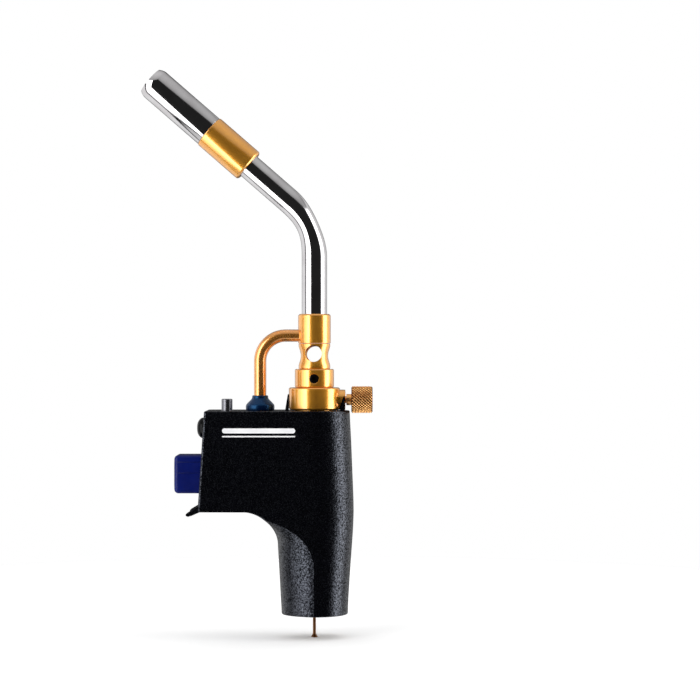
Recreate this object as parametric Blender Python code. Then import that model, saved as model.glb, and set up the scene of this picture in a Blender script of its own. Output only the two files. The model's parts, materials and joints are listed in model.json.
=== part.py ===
"""Trigger-start gas torch head, as separate parts: moulded housing, gas train, igniter and burner.

The frame: +Z is up along the gas cylinder's axis, the nozzle and trigger point to -X, the housing's
left half is at -Y. The origin is the centre of the handle's lower rim, where the cylinder comes in.
Sizes are in millimetres; the mesh helpers turn them into metres.
"""

import math

import bmesh
import bpy
from mathutils import Matrix, Vector

MM = 0.001
GAP = 0.35  # between pieces that touch

# Housing
TOP_Z = 105.6
FLOOR_Z = 53.9
WALL = 2.2
HALF_WIDTH = 17.8
RIM_HALF_WIDTH = 17.2
WIDEST_Z = 45.0  # the sides spread up to here
FRONT_TOP_X = -56.3
FRONT_SLOPE = 0.064
HANDLE_FRONT_X = -19.0
HANDLE_RIM_X = -17.0
SCOOP_RADIUS = 18.0
ROUND_FRONT_Z = (24.0, 49.5)  # below this stretch the handle's front is a full round, above it has corners
CORNER_RADIUS = 1.2
TOP_FILLET = 1.5
LIP_SECTION = ((-57.8, 58.2), (-59.6, 56.8), (-62.5, 54.9), (-64.9, 53.5), (-65.6, 52.7), (-65.2, 51.8),
               (-64.4, 51.6), (-62.6, 52.1), (-59.4, 53.5), (-57.0, 54.6))
REAR_RADII = ((0.0, 17.3), (7.0, 17.6), (20.0, 18.4), (33.0, 19.3), (44.0, 20.1), (55.0, 20.5),
              (75.0, 19.7), (90.0, 19.1), (105.0, 18.3))
SCREW_PLACES = ((-50.5, 58.5, 17.0), (-24.0, 59.5, 17.0), (-36.0, 96.5, 17.0), (9.0, 76.0, 15.2))
SCREW_BOSS_R = 2.6
HEAD_BOSS_R = 4.4
HEAD_DEPTH = 2.4
# the ribs beside the collar: how far out from it, and how high
FRONT_RIB = ((0.0, 104.6), (1.7, 104.6), (1.7, 105.8), (0.6, 114.0), (0.0, 114.0))
REAR_RIB = ((0.0, 104.6), (2.3, 104.6), (2.3, 113.0), (1.5, 113.0), (0.0, 107.5))

# Trigger and its neighbours
TRIGGER_Z = (63.0, 82.7)
TRIGGER_TIP_X = -72.7
TRIGGER_HALF_WIDTH = 9.5
FLANGE_X = (-55.0, -52.8)
FLANGE_HALF_WIDTH = 11.5
FLANGE_RISE = 1.5
TOOTH_X = (-50.6, -48.4)
TOOTH_TOP_Z = 89.5
TRIGGER_GROOVES_Z = (73.6, 79.0)
TRIGGER_ARM_END_X = -24.6
LOCK_PIN_X = -45.45
LOCK_PIN_R = 2.5
LOCK_PIN_HEAD_R = 2.85
LOCK_PIN_TOP_Z = 111.6
BUTTON_Z = 96.5
BUTTON_TIP_X = -60.9
BUTTON_HALF = (5.0, 5.3)  # across and up
PIEZO_Y = 7.6
PIEZO_Z = 67.5
LEVER_X = -23.2
LEVER_HALF_WIDTH = 2.6
LEVER_PIVOT_Z = 95.0
STEM_Z = 89.0

# Gas train in the handle
SOCKET_MOUTH_Z = 3.0
SOCKET_TOP_Z = 15.6
SOCKET_R = 12.4
PIN_TIP_Z = -12.2
DIAPHRAGM_X = -2.6
OUTLET_X = 11.0

# Burner
COLLAR_R = 13.3
COLLAR_Z = (106.0, 117.5)
KNOB_Z = 111.2
KNOB_R = 7.1
KNOB_X = (19.2, 30.2)
BOSS_R = 5.2
BOSS_END_X = 16.1
SOCKET_RING_R = 10.15
SOCKET_RING_Z = (118.0, 127.1)
GRUB_Z = 122.2
VENTURI_Z = (127.45, 140.15)
AIR_HOLE_Z = 134.9
AIR_HOLE_R = 4.5
MIXER_R = 8.45
MIXER_Z = (140.5, 155.7)
LEAD_TUBE_X = -28.2
LEAD_TUBE_R = 3.18
LEAD_TUBE_BEND = 13.3
LEAD_TUBE_TOP_Z = 144.5
LEAD_R = 1.1
BURN_TUBE_R = 6.55
BURN_TUBE_START_Z = 148.3
BEND_CORNER_Z = 203.0
BEND_RADIUS = 39.5
BEND_ANGLE = math.radians(49.0)
BEND_FLATTENING = 0.13
FERRULE_R = 8.97
FERRULE = (45.1, 72.5)  # along the nozzle's axis from the bend's corner
FLAME_TUBE_R = 8.6
FLAME_TUBE = (72.85, 112.9)
MOUTH_R = 7.3
CRIMP = 3.5

BRASS = ("brass", (0.86, 0.58, 0.20), 0.22, 1.0)
STEEL = ("steel", (0.72, 0.72, 0.73), 0.16, 1.0)
SPRING_STEEL = ("spring_steel", (0.55, 0.55, 0.56), 0.35, 1.0)
BLACK_STEEL = ("black_steel", (0.03, 0.03, 0.035), 0.4, 0.8)
COPPER = ("copper", (0.72, 0.36, 0.2), 0.3, 1.0)
ALUMINIUM = ("aluminium", (0.7, 0.71, 0.72), 0.4, 1.0)
BLACK_NYLON = ("black_nylon", (0.018, 0.018, 0.024), 0.55, 0.0)
BLUE_PLASTIC = ("blue_plastic", (0.01, 0.03, 0.30), 0.35, 0.0)
BLUE_RUBBER = ("blue_rubber", (0.008, 0.03, 0.16), 0.3, 0.0)
BLACK_RUBBER = ("black_rubber", (0.02, 0.02, 0.02), 0.8, 0.0)
WHITE_PLASTIC = ("white_plastic", (0.75, 0.74, 0.70), 0.5, 0.0)
RED_SILICONE = ("red_silicone", (0.45, 0.03, 0.02), 0.6, 0.0)
CERAMIC = ("ceramic", (0.86, 0.84, 0.78), 0.4, 0.0)
BRONZE = ("sintered_bronze", (0.42, 0.27, 0.13), 0.8, 0.9)


# ---------------------------------------------------------------- mesh helpers

def clear_scene():
    for obj in list(bpy.data.objects):
        bpy.data.objects.remove(obj)


def material(finish):
    name, colour, roughness, metallic = finish
    found = bpy.data.materials.get(name)
    if found:
        return found
    made = bpy.data.materials.new(name)
    made.use_nodes = True
    shader = made.node_tree.nodes["Principled BSDF"]
    shader.inputs["Base Color"].default_value = (*colour, 1.0)
    shader.inputs["Roughness"].default_value = roughness
    shader.inputs["Metallic"].default_value = metallic
    return made


def add_object(name, points, faces, finish, origin=(0, 0, 0), turn=None):
    """A mesh object from points in its own frame, in millimetres, placed at origin and turned."""
    mesh = bpy.data.meshes.new(name)
    mesh.from_pydata([Vector(p) * MM for p in points], [], faces)
    shape = bmesh.new()
    shape.from_mesh(mesh)
    bmesh.ops.remove_doubles(shape, verts=shape.verts, dist=1e-7)
    bmesh.ops.recalc_face_normals(shape, faces=shape.faces)
    shape.to_mesh(mesh)
    shape.free()
    mesh.shade_smooth()
    mesh.set_sharp_from_angle(angle=math.radians(35))
    obj = bpy.data.objects.new(name, mesh)
    bpy.context.scene.collection.objects.link(obj)
    if finish:
        mesh.materials.append(material(finish))
    else:
        obj.hide_render = True
        obj.display_type = "WIRE"
    matrix = turn.to_4x4() if turn else Matrix.Identity(4)
    matrix.translation = Vector(origin) * MM
    obj.matrix_world = matrix
    return obj


def along(direction):
    """The rotation that turns +Z into direction."""
    return Vector(direction).to_track_quat("Z", "Y").to_matrix()


def bridged(rings, loop=False, caps=True):
    """Points and faces of rings of points joined in order; a ring of one point is a pole."""
    points, starts = [], []
    for ring in rings:
        starts.append(len(points))
        points += ring
    faces = []
    pairs = list(zip(range(len(rings)), range(1, len(rings))))
    if loop:
        pairs.append((len(rings) - 1, 0))
    for a, b in pairs:
        count = max(len(rings[a]), len(rings[b]))
        for i in range(count):
            j = (i + 1) % count
            corners = []
            for ring, order in ((a, (i, j)), (b, (j, i))):
                for k in order:
                    corner = starts[ring] + (k if len(rings[ring]) > 1 else 0)
                    if corner not in corners:
                        corners.append(corner)
            faces.append(corners)
    if caps and not loop:
        for ring in (0, len(rings) - 1):
            if len(rings[ring]) > 2:
                faces.append([starts[ring] + i for i in range(len(rings[ring]))])
    return points, faces


def turned(name, profile, finish, origin=(0, 0, 0), axis=(0, 0, 1), sides=20):
    """A turned piece. The profile is (radius, height) pairs: from axis to axis, or a closed ring."""
    rings = []
    first = 0.0 if finish else 0.5  # a cutter's corners miss those of the piece it cuts
    for radius, height in profile:
        if radius < 1e-6:
            rings.append([(0, 0, height)])
        else:
            angles = [2 * math.pi * (i + first) / sides for i in range(sides)]
            rings.append([(radius * math.cos(a), radius * math.sin(a), height) for a in angles])
    solid = profile[0][0] < 1e-6 and profile[-1][0] < 1e-6
    points, faces = bridged(rings, loop=not solid)
    return add_object(name, points, faces, finish, origin, along(axis))


def rod(name, radius, start, end, finish, origin=(0, 0, 0), axis=(0, 0, 1), sides=20, chamfer=0.0):
    profile = [(0, start), (radius - chamfer, start), (radius, start + chamfer),
               (radius, end - chamfer), (radius - chamfer, end), (0, end)]
    if not chamfer:
        profile = [(0, start), (radius, start), (radius, end), (0, end)]
    return turned(name, profile, finish, origin, axis, sides)


def ring(name, outer, inner, start, end, finish, origin=(0, 0, 0), axis=(0, 0, 1), sides=20):
    profile = [(outer, start), (outer, end), (inner, end), (inner, start)]
    return turned(name, profile, finish, origin, axis, sides)


def block(name, low, high, finish, bevel=0.0, segments=2):
    """A box between two corners, with its edges rounded where bevel is given."""
    centre = [(a + b) / 2 for a, b in zip(low, high)]
    sizes = [b - a for a, b in zip(low, high)]
    shape = bmesh.new()
    bmesh.ops.create_cube(shape, size=1.0)
    bmesh.ops.scale(shape, vec=sizes, verts=shape.verts)
    if bevel:
        bmesh.ops.bevel(shape, geom=shape.edges, offset=bevel, segments=segments, affect="EDGES", profile=0.5)
    shape.verts.index_update()
    points = [tuple(v.co) for v in shape.verts]
    faces = [[v.index for v in f.verts] for f in shape.faces]
    shape.free()
    return add_object(name, points, faces, finish, centre)


def frames_along(path):
    """(point, side, up) at each point of a path, carried along it without twisting."""
    path = [Vector(p) for p in path]
    tangents = []
    for i, point in enumerate(path):
        before = path[max(i - 1, 0)]
        after = path[min(i + 1, len(path) - 1)]
        tangents.append((after - before).normalized())
    side = Vector((0, 1, 0)) if abs(tangents[0].y) < 0.9 else Vector((1, 0, 0))
    found = []
    for point, tangent in zip(path, tangents):
        side = (side - tangent * side.dot(tangent)).normalized()
        found.append((point, side, tangent.cross(side)))
    return found


def swept(name, path, section, finish, hollow=None):
    """A section carried along a path. section(i) gives (side, up) pairs; hollow gives an inner one."""
    frames = frames_along(path)

    def rings_of(shape):
        return [[tuple(p + s * a + u * b) for a, b in shape(i)] for i, (p, s, u) in enumerate(frames)]

    rings = rings_of(section)
    if hollow is None:
        points, faces = bridged(rings)
    else:
        points, faces = bridged(rings + rings_of(hollow)[::-1], loop=True)
    return add_object(name, points, faces, finish)


def extruded(name, section, y0, y1, finish):
    """A solid whose section is (x, z) points, between two places along Y."""
    points, faces = bridged([[(x, y, z) for x, z in section] for y in (y0, y1)])
    return add_object(name, points, faces, finish)


def circle(radius, sides=12, flatten=lambda i: 1.0):
    def section(i):
        angles = [2 * math.pi * k / sides for k in range(sides)]
        return [(radius * math.cos(a), radius * flatten(i) * math.sin(a)) for a in angles]
    return section


def arc(centre, radius, start, end, steps, y=0.0):
    """Points of an arc in the XZ plane, angles from +X towards +Z."""
    angles = [start + (end - start) * i / steps for i in range(steps + 1)]
    return [(centre[0] + radius * math.cos(a), y, centre[1] + radius * math.sin(a)) for a in angles]


def spring(name, radius, wire, length, turns, finish, origin, axis, steps=8, sides=5):
    """A coil spring whose end coils lie flat, standing from origin along axis."""
    count = turns * steps
    rise = length - 2 * wire
    path = []
    for i in range(count + 1):
        t = i / count
        height = wire + rise * (t - math.sin(2 * math.pi * t) / (2 * math.pi) * 0.35)
        a = 2 * math.pi * turns * t
        path.append((radius * math.cos(a), radius * math.sin(a), height))
    obj = swept(name, path, circle(wire, sides), finish)
    matrix = along(axis).to_4x4()
    matrix.translation = Vector(origin) * MM
    obj.matrix_world = matrix
    return obj


def combine(obj, helpers, operation):
    """Joins helpers on to obj, or cuts them out, in one step. They stay in the scene as wires."""
    group = bpy.data.collections.new(f"{obj.name}_{operation.lower()}_{len(obj.modifiers)}")
    bpy.context.scene.collection.children.link(group)
    for helper in helpers:
        group.objects.link(helper)
    modifier = obj.modifiers.new(group.name, "BOOLEAN")
    modifier.operation = operation
    modifier.solver = "EXACT"
    modifier.operand_type = "COLLECTION"
    modifier.collection = group


def cut(obj, *helpers):
    combine(obj, helpers, "DIFFERENCE")
    weld = obj.modifiers.new("weld", "WELD")
    weld.merge_threshold = 0.01 * MM


def join(obj, *helpers):
    combine(obj, helpers, "UNION")


# ---------------------------------------------------------------- housing

def rear_radius(z):
    for (z0, r0), (z1, r1) in zip(REAR_RADII, REAR_RADII[1:]):
        if z <= z1:
            return r0 + (r1 - r0) * max(0.0, z - z0) / (z1 - z0)
    return REAR_RADII[-1][1]


def front_x(z, inset):
    """Where the housing's front lies at a height, in the box above the floor or in the handle below."""
    if z >= FLOOR_Z + inset:
        return FRONT_TOP_X - (TOP_Z - z) * FRONT_SLOPE + inset
    centre_z = FLOOR_Z - SCOOP_RADIUS
    if z <= centre_z:
        return HANDLE_RIM_X + (HANDLE_FRONT_X - HANDLE_RIM_X) * z / centre_z + inset
    radius = SCOOP_RADIUS + inset
    return HANDLE_FRONT_X - SCOOP_RADIUS + math.sqrt(max(0.0, radius**2 - (z - centre_z) ** 2))


def outline(z, inset, shrink=0.0, corner_steps=5, rear_steps=7):
    """The housing's section at a height: flat sides, a round back, and a front that rounds off below."""
    width = RIM_HALF_WIDTH + (HALF_WIDTH - RIM_HALF_WIDTH) * min(1.0, z / WIDEST_Z) - inset - shrink
    rear = rear_radius(z) - inset - shrink
    front = front_x(z, inset) + shrink
    corner_x = corner_y = corner = max(CORNER_RADIUS - inset, 0.8)
    if z < FLOOR_Z + inset:
        low, high = ROUND_FRONT_Z
        share = max(0.0, min(1.0, (high - z) / (high - low)))
        blend = 1 - (1 - share) ** 2.2
        corner_x += (-front - corner) * blend
        corner_y += (width - corner) * min(1.0, blend * 1.3)
    upper = []
    for i in range(corner_steps + 1):
        a = math.pi / 2 * i / corner_steps
        upper.append((front + corner_x * (1 - math.cos(a)), width - corner_y * (1 - math.sin(a))))
    for i in range(rear_steps):
        a = math.pi / 2 * i / rear_steps
        upper.append((rear * math.sin(a), width * math.cos(a)))
    upper.append((rear, 0.0))
    return upper + [(x, -y) for x, y in upper[-2::-1]]


def handle_heights(even_steps, arc_steps):
    """Heights from the rim to the floor: even up to the scoop's centre, then even turns of its arc."""
    centre_z = FLOOR_Z - SCOOP_RADIUS
    heights = [centre_z * i / even_steps for i in range(even_steps)]
    turns = [math.radians(84.0) * i / arc_steps for i in range(arc_steps + 1)]
    return heights + [centre_z + SCOOP_RADIUS * math.sin(a) for a in turns]


def housing_body(name, inset):
    """The whole outer form (inset 0) or the cavity (inset = wall) as one closed solid."""
    stretch = (FLOOR_Z + inset) / FLOOR_Z
    heights = [z * stretch for z in handle_heights(5, 8)]
    heights += [FLOOR_Z + inset, 75.0, 90.0, TOP_Z - (inset or TOP_FILLET)]
    rings = [[(x, y, z) for x, y in outline(z, inset)] for z in heights]
    if inset:
        rings.insert(0, [(x, y, -3.0) for x, y, _ in rings[0]])
    else:
        for degrees in (30, 60, 90):
            lift = TOP_FILLET * math.sin(math.radians(degrees))
            shrink = TOP_FILLET * (1 - math.cos(math.radians(degrees)))
            z = TOP_Z - TOP_FILLET + lift
            rings.append([(x, y, z) for x, y in outline(z, 0.0, shrink)])
    points, faces = bridged(rings)
    return add_object(name, points, faces, None if inset else BLACK_NYLON)


def screw_boss(name, side, x, z, head_y):
    """A housing screw's boss, and the hole to cut in it. The right half's takes the screw's head."""
    place = (x, 0, z)
    outward = (0, side, 0)
    if side > 0:
        neck_y = head_y - 4.2
        profile = [(0, 0), (SCREW_BOSS_R, 0), (SCREW_BOSS_R, neck_y), (HEAD_BOSS_R, neck_y),
                   (HEAD_BOSS_R, head_y - 0.6), (0, head_y - 0.6)]
        seat_y = head_y - HEAD_DEPTH
        hole = [(0, -1), (1.7, -1), (1.7, seat_y), (3.5, seat_y), (3.5, 30), (0, 30)]
    else:
        profile = [(0, 0), (SCREW_BOSS_R, 0), (SCREW_BOSS_R, head_y - 0.6), (0, head_y - 0.6)]
        hole = [(0, -1), (1.7, -1), (1.7, 8), (0, 8)]
    return (turned(f"boss_{name}", profile, None, place, outward, 12),
            turned(f"screw_hole_{name}", hole, None, place, outward, 12))


def housing_ribs(name, side):
    """The ribs inside a half that hold the regulator, and the piezo unit or the trigger's spring."""
    wall_y = HALF_WIDTH - WALL / 2
    piezo_side = PIEZO_Y + 4.65
    ribs = [("regulator", (-6, 6), (13.25, wall_y - 0.5), (25.85, 28.15))]
    if side > 0:
        ribs += [("piezo_front", (-42, -40), (piezo_side, wall_y), (64, 71)),
                 ("piezo_rear", (-22, -20), (piezo_side, wall_y), (66, 71)),
                 ("piezo_stop", (-17.6, -16), (3.5, wall_y), (61.5, 64.3))]
    else:
        ribs.append(("spring", (-36.6, -34.8), (3.5, wall_y), (FLOOR_Z + WALL / 2, 73.0)))
    made = []
    for label, xs, ys, zs in ribs:
        y0, y1 = sorted(side * y for y in ys)
        made.append(block(f"rib_{name}_{label}", (xs[0], y0, zs[0]), (xs[1], y1, zs[1]), None))
    return made


def collar_rib(name, direction, section, y0, y1):
    """A thin rib that stands on the housing's top, in front of the collar or behind it."""
    start = COLLAR_R + GAP
    return extruded(name, [(direction * (start + out), z) for out, z in section], y0, y1, None)


def housing_half(name, side):
    """One half shell: side -1 is the left half, with blind bosses; side 1 takes the screws."""
    half = housing_body(name, 0.0)
    cut(half, housing_body(f"cavity_{name}", WALL))
    pivot = (LEVER_X, 0, LEVER_PIVOT_Z)
    outward = (0, side, 0)
    added = [rod(f"pivot_boss_{name}", 3.0, 12.0, HALF_WIDTH - WALL / 2, None, pivot, outward, 12)]
    removed = [rod(f"pivot_hole_{name}", 1.35, 0.0, 15.6, None, pivot, outward, 10)]
    for i, place in enumerate(SCREW_PLACES):
        boss, hole = screw_boss(f"{name}_{i}", side, *place)
        added.append(boss)
        removed.append(hole)
    added += housing_ribs(name, side)
    lip_half_width = HALF_WIDTH - 0.6
    added.append(extruded(f"lip_{name}", LIP_SECTION, -lip_half_width, lip_half_width, None))
    added.append(collar_rib(f"front_rib_{name}", -1, FRONT_RIB, -1.5, 1.5))
    near, far = sorted((side * (BOSS_R + GAP), side * (BOSS_R + GAP + 1.4)))
    added.append(collar_rib(f"rear_rib_{name}", 1, REAR_RIB, near, far))
    join(half, *added)
    low_y, high_y = (-GAP / 2, 60.0) if side < 0 else (-60.0, GAP / 2)
    z0, z1 = TRIGGER_Z
    half_y, half_z = (size + GAP for size in BUTTON_HALF)
    button_low = (-65, -half_y, BUTTON_Z - half_z)
    button_high = (-53.0, half_y, BUTTON_Z + half_z)
    cut(half, *removed,
        block(f"trim_{name}", (-90, low_y, -20), (40, high_y, 130), None),
        block(f"trigger_window_{name}", (-70, -10.0, z0 - 0.5), (FLANGE_X[0], 10.0, z1 + 0.5), None),
        block(f"lip_notch_{name}", (-70, -12.0, 50.0), (-60.6, 12.0, 58.0), None),
        block(f"button_window_{name}", button_low, button_high, None),
        rod(f"collar_way_{name}", 10.8, 95.0, 115.0, None, sides=24),
        rod(f"boot_way_{name}", 5.4, 95.0, 115.0, None, (LEAD_TUBE_X, 0, 0), sides=20),
        rod(f"lock_pin_way_{name}", LOCK_PIN_HEAD_R + GAP, 95.0, 115.0, None, (LOCK_PIN_X, 0, 0), sides=16))


def housing_screw(number, x, z, head_y):
    """A pan-head screw that runs through the right half into the left half's boss."""
    profile = [(0, -6.0), (0.6, -6.0), (1.3, -4.8), (1.3, head_y - 2.0), (3.0, head_y - 2.0),
               (3.1, head_y - 0.8), (2.5, head_y), (0, head_y)]
    screw = turned(f"housing_screw_{number}", profile, STEEL, (x, 0, z), (0, 1, 0), 14)
    low_y, high_y = head_y - 1.3, head_y + 1
    cut(screw,
        block(f"slot_{number}_across", (x - 1.9, low_y, z - 0.35), (x + 1.9, high_y, z + 0.35), None),
        block(f"slot_{number}_up", (x - 0.35, low_y, z - 1.9), (x + 0.35, high_y, z + 1.9), None))


def latch_bracket():
    """The inner bracket that guides the lock pin and backs the safety button's spring."""
    bracket = block("latch_bracket", (-50.6, -15.2, 93.0), (-41.4, 15.2, 94.7), BLACK_NYLON)
    join(bracket, block("bracket_wall", (-50.3, -5.0, 93.5), (-49.3, 5.0, 101.0), None))
    cut(bracket, rod("bracket_hole", LOCK_PIN_R + GAP, 90.0, 98.0, None, (LOCK_PIN_X, 0, 0), sides=16))


# ---------------------------------------------------------------- trigger, latch and igniter

def trigger():
    z0, z1 = TRIGGER_Z
    front, back = FLANGE_X
    tooth_front, tooth_back = TOOTH_X
    half_width = TRIGGER_HALF_WIDTH
    low, high = (TRIGGER_TIP_X, -half_width, z0), (back + 0.1, half_width, z1)
    body = block("trigger", low, high, BLUE_PLASTIC, 1.6, 3)
    flange_low = (front, -FLANGE_HALF_WIDTH, z0 - FLANGE_RISE)
    flange_high = (back, FLANGE_HALF_WIDTH, z1 + FLANGE_RISE)
    join(body,
         block("trigger_flange", flange_low, flange_high, None),
         block("trigger_arm", (back - 1.0, -2.4, 70.5), (TRIGGER_ARM_END_X, 2.4, 76.0), None),
         block("trigger_shelf", (back - 1.0, -3.0, 80.0), (tooth_back, 3.0, z1 + FLANGE_RISE), None),
         block("trigger_tooth", (tooth_front, -2.0, z1), (tooth_back, 2.0, TOOTH_TOP_Z), None))
    grooves = []
    for z in TRIGGER_GROOVES_Z:
        for side in (-1, 1):
            y0, y1 = sorted((side * (half_width - 0.3), side * 12.0))
            label = f"trigger_groove_{z:.0f}_{side}"
            grooves.append(block(label, (-75, y0, z - 0.2), (front - 1.5, y1, z + 0.2), None))
    cut(body, *grooves)


def safety_button():
    """The black thumb button above the trigger: a domed oval with a flange behind the wall."""
    width, height = BUTTON_HALF
    dome_x = -57.8
    stations = [(-53.1, width + 1.2, height + 0.9), (-53.9, width + 1.2, height + 0.9),
                (-53.9, width, height), (dome_x, width, height)]
    for share, size in ((0.5, 0.78), (0.85, 0.52), (1.0, 0.32)):
        stations.append((dome_x + (BUTTON_TIP_X - dome_x) * share, width * size, height * size))
    rings = []
    for x, half_y, half_z in stations:
        angles = [2 * math.pi * i / 16 for i in range(16)]
        rings.append([(x, half_y * math.cos(a), half_z * math.sin(a)) for a in angles])
    points, faces = bridged(rings)
    add_object("safety_button", points, faces, BLACK_NYLON, (0, 0, BUTTON_Z))


def run_lock_pin():
    """The pin that the thumb presses down behind the trigger's tooth, with a collar on its spring."""
    r = LOCK_PIN_R
    head = LOCK_PIN_HEAD_R
    top = LOCK_PIN_TOP_Z
    profile = [(0, 91.5), (r - 0.4, 91.5), (r, 92.0), (r, 100.9), (3.5, 100.9), (3.5, 102.4), (head, 102.4),
               (head, top - 0.3), (head - 0.3, top), (0, top)]
    turned("run_lock_pin", profile, STEEL, (LOCK_PIN_X, 0, 0), sides=20)


def igniter():
    """The piezo unit that the trigger squeezes, its lead to the nozzle and its earth strip."""
    place = (0, PIEZO_Y, PIEZO_Z)
    profile = [(0, -29.0), (2.95, -29.0), (2.95, -44.0), (4.3, -44.0), (4.3, -22.0), (3.2, -21.0), (3.2, -18.0),
               (0, -18.0)]
    turned("piezo_igniter", profile, WHITE_PLASTIC, place, (1, 0, 0), 16)
    rod("piezo_plunger", 2.6, FLANGE_X[1] + GAP, -39.0, WHITE_PLASTIC, place, (1, 0, 0), 14, 0.3)
    strip = [(-17.4, 5.0, 64.9), (-16.6, 4.7, 72.0), (-13.0, 4.6, 77.6), (-9.5, 4.6, 79.2), (-5.5, 4.6, 79.4)]
    swept("earth_strip", strip, lambda i: [(-1.3, -0.2), (1.3, -0.2), (1.3, 0.2), (-1.3, 0.2)], BRASS)


def nozzle_axis(distance):
    """A point on the nozzle's axis, so far from the bend's corner."""
    return (-math.sin(BEND_ANGLE) * distance, 0.0, BEND_CORNER_Z + math.cos(BEND_ANGLE) * distance)


def burner_bend(steps):
    """The burn tube's bend, from its vertical leg to the nozzle's axis."""
    tangent = BEND_RADIUS * math.tan(BEND_ANGLE / 2)
    return arc((-BEND_RADIUS, BEND_CORNER_Z - tangent), BEND_RADIUS, 0.0, BEND_ANGLE, steps)


def ignition_lead():
    """The high-tension lead, from the piezo unit through the side tube and the burner to the electrode."""
    r = LEAD_TUBE_BEND
    path = [(-17.2, 8.4, 67.5), (-15.6, 8.5, 67.7), (-14.2, 9.0, 69.0), (-13.6, 9.7, 71.6), (-14.2, 10.4, 75.6),
            (-16.6, 10.9, 80.6), (-20.4, 10.6, 85.8), (-24.2, 9.0, 89.8), (-26.8, 6.4, 92.8), (-28.0, 3.4, 95.0),
            (LEAD_TUBE_X, 1.0, 97.4), (LEAD_TUBE_X, 0.1, 100.6), (LEAD_TUBE_X, 0, 106.0)]
    path += arc((LEAD_TUBE_X + r, LEAD_TUBE_TOP_Z - r), r, math.pi, math.pi / 2, 6)
    path += arc((-4.5, LEAD_TUBE_TOP_Z + 4.5), 4.5, -math.pi / 2, 0.0, 4)
    path += burner_bend(8)
    path.append(nozzle_axis(79.0))
    swept("ignition_lead", path, circle(LEAD_R, 8), RED_SILICONE)


def lead_tube():
    r = LEAD_TUBE_BEND
    path = [(LEAD_TUBE_X, 0, 99.0)]
    path += arc((LEAD_TUBE_X + r, LEAD_TUBE_TOP_Z - r), r, math.pi, math.pi / 2, 8)
    path.append((-6.9, 0, LEAD_TUBE_TOP_Z))
    swept("lead_tube", path, circle(LEAD_TUBE_R, 16), BRASS, circle(LEAD_TUBE_R - 0.7, 16))


def tube_boot():
    """The rubber boot that seals the side tube where it enters the housing."""
    bore = LEAD_TUBE_R + GAP
    profile = [(bore, 100.9), (6.5, 100.9), (6.5, TOP_Z - WALL - GAP), (5.0, TOP_Z - WALL - GAP),
               (5.0, TOP_Z + GAP), (7.4, TOP_Z + GAP), (7.4, 108.6), (6.9, 109.4), (4.5, 111.7), (4.2, 112.4),
               (4.2, 113.2), (3.9, 113.5), (bore, 113.5)]
    turned("tube_boot", profile, BLUE_RUBBER, (LEAD_TUBE_X, 0, 0), sides=24)


# ---------------------------------------------------------------- valve

def valve_body():
    """The brass body behind the big collar: on-off valve below, flame-control needle in the collar."""
    z0, z1 = COLLAR_Z
    r = COLLAR_R
    under = TOP_Z - WALL - GAP
    profile = [(2.4, 80.0), (9.5, 80.0), (9.5, 97.5), (12.3, 98.5), (12.3, under), (10.4, under), (10.4, z0),
               (r - 0.3, z0), (r, z0 + 0.3), (r, z1 - 0.7), (r - 0.7, z1), (4.7, z1), (4.7, 120.9), (1.5, 120.9),
               (1.5, 84.0), (2.4, 84.0)]
    body = turned("valve_body", profile, BRASS, sides=32)
    knob_way = (0, 0, KNOB_Z)
    stem_way = (0, 0, STEM_Z)
    join(body,
         rod("knob_boss", BOSS_R, 3.0, BOSS_END_X, None, knob_way, (1, 0, 0), 20, 0.4),
         rod("port_boss", 4.5, 3.0, 15.5, None, stem_way, (-1, 0, 0), 16))
    cut(body,
        rod("needle_bore", 2.2, 5.5, 20.0, None, knob_way, (1, 0, 0), 12),
        rod("needle_seat", 1.3, 0.0, 7.0, None, knob_way, (1, 0, 0), 8),
        rod("gland_bore", 3.6, 12.0, 20.0, None, knob_way, (1, 0, 0), 16),
        rod("stem_bore", 3.05, 4.0, 20.0, None, stem_way, (-1, 0, 0), 14),
        rod("stem_port", 1.2, 0.0, 6.0, None, stem_way, (-1, 0, 0), 8))


def flame_control():
    """The needle, its seal and gland nut, and the knurled knob that screws it in and out."""
    place = (0, 0, KNOB_Z)
    profile = [(0, 3.4), (0.3, 3.4), (1.8, 8.5), (1.8, 27.6), (0, 27.6)]
    turned("flame_needle", profile, BRASS, place, (1, 0, 0), 14)
    ring("needle_seal", 3.2, 2.15, 12.5, 13.9, BLACK_RUBBER, place, (1, 0, 0), 14)
    ring("gland_nut", 3.25, 2.15, 14.3, 15.9, BRASS, place, (1, 0, 0), 14)
    x0, x1 = KNOB_X
    profile = [(0, 28.0), (2.15, 28.0), (2.15, x0 - 2.6), (2.9, x0 - 2.6), (2.9, x0), (KNOB_R - 0.5, x0),
               (KNOB_R, x0 + 0.5), (KNOB_R, x1 - 0.5), (KNOB_R - 0.5, x1), (0, x1)]
    turned("flame_knob", profile, BRASS, place, (1, 0, 0), 28)


def shut_off_valve():
    """The push-to-open stem, its seal and spring, and the lever that the trigger's arm swings."""
    place = (0, 0, STEM_Z)
    profile = [(0, 9.6), (2.5, 9.6), (2.5, 12.0), (1.45, 12.0), (1.45, 21.9), (0, 21.9)]
    turned("valve_stem", profile, BRASS, place, (-1, 0, 0), 12)
    ring("stem_seal", 2.75, 1.85, 13.0, 14.4, BLACK_RUBBER, place, (-1, 0, 0), 12)
    spring("valve_spring", 2.0, 0.2, 4.8, 3, SPRING_STEEL, (-4.4, 0, STEM_Z), (-1, 0, 0))
    pivot = (LEVER_X, 0, LEVER_PIVOT_Z)
    half = LEVER_HALF_WIDTH
    lever = rod("valve_lever", 2.5, -half, half, SPRING_STEEL, pivot, (0, 1, 0), 16)
    join(lever, block("lever_blade", (LEVER_X - 1, -half, 70.8), (LEVER_X + 1, half, 93.6), None))
    cut(lever, rod("lever_hole", 1.35, -5, 5, None, pivot, (0, 1, 0), 12))


# ---------------------------------------------------------------- gas inlet and regulator

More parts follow.
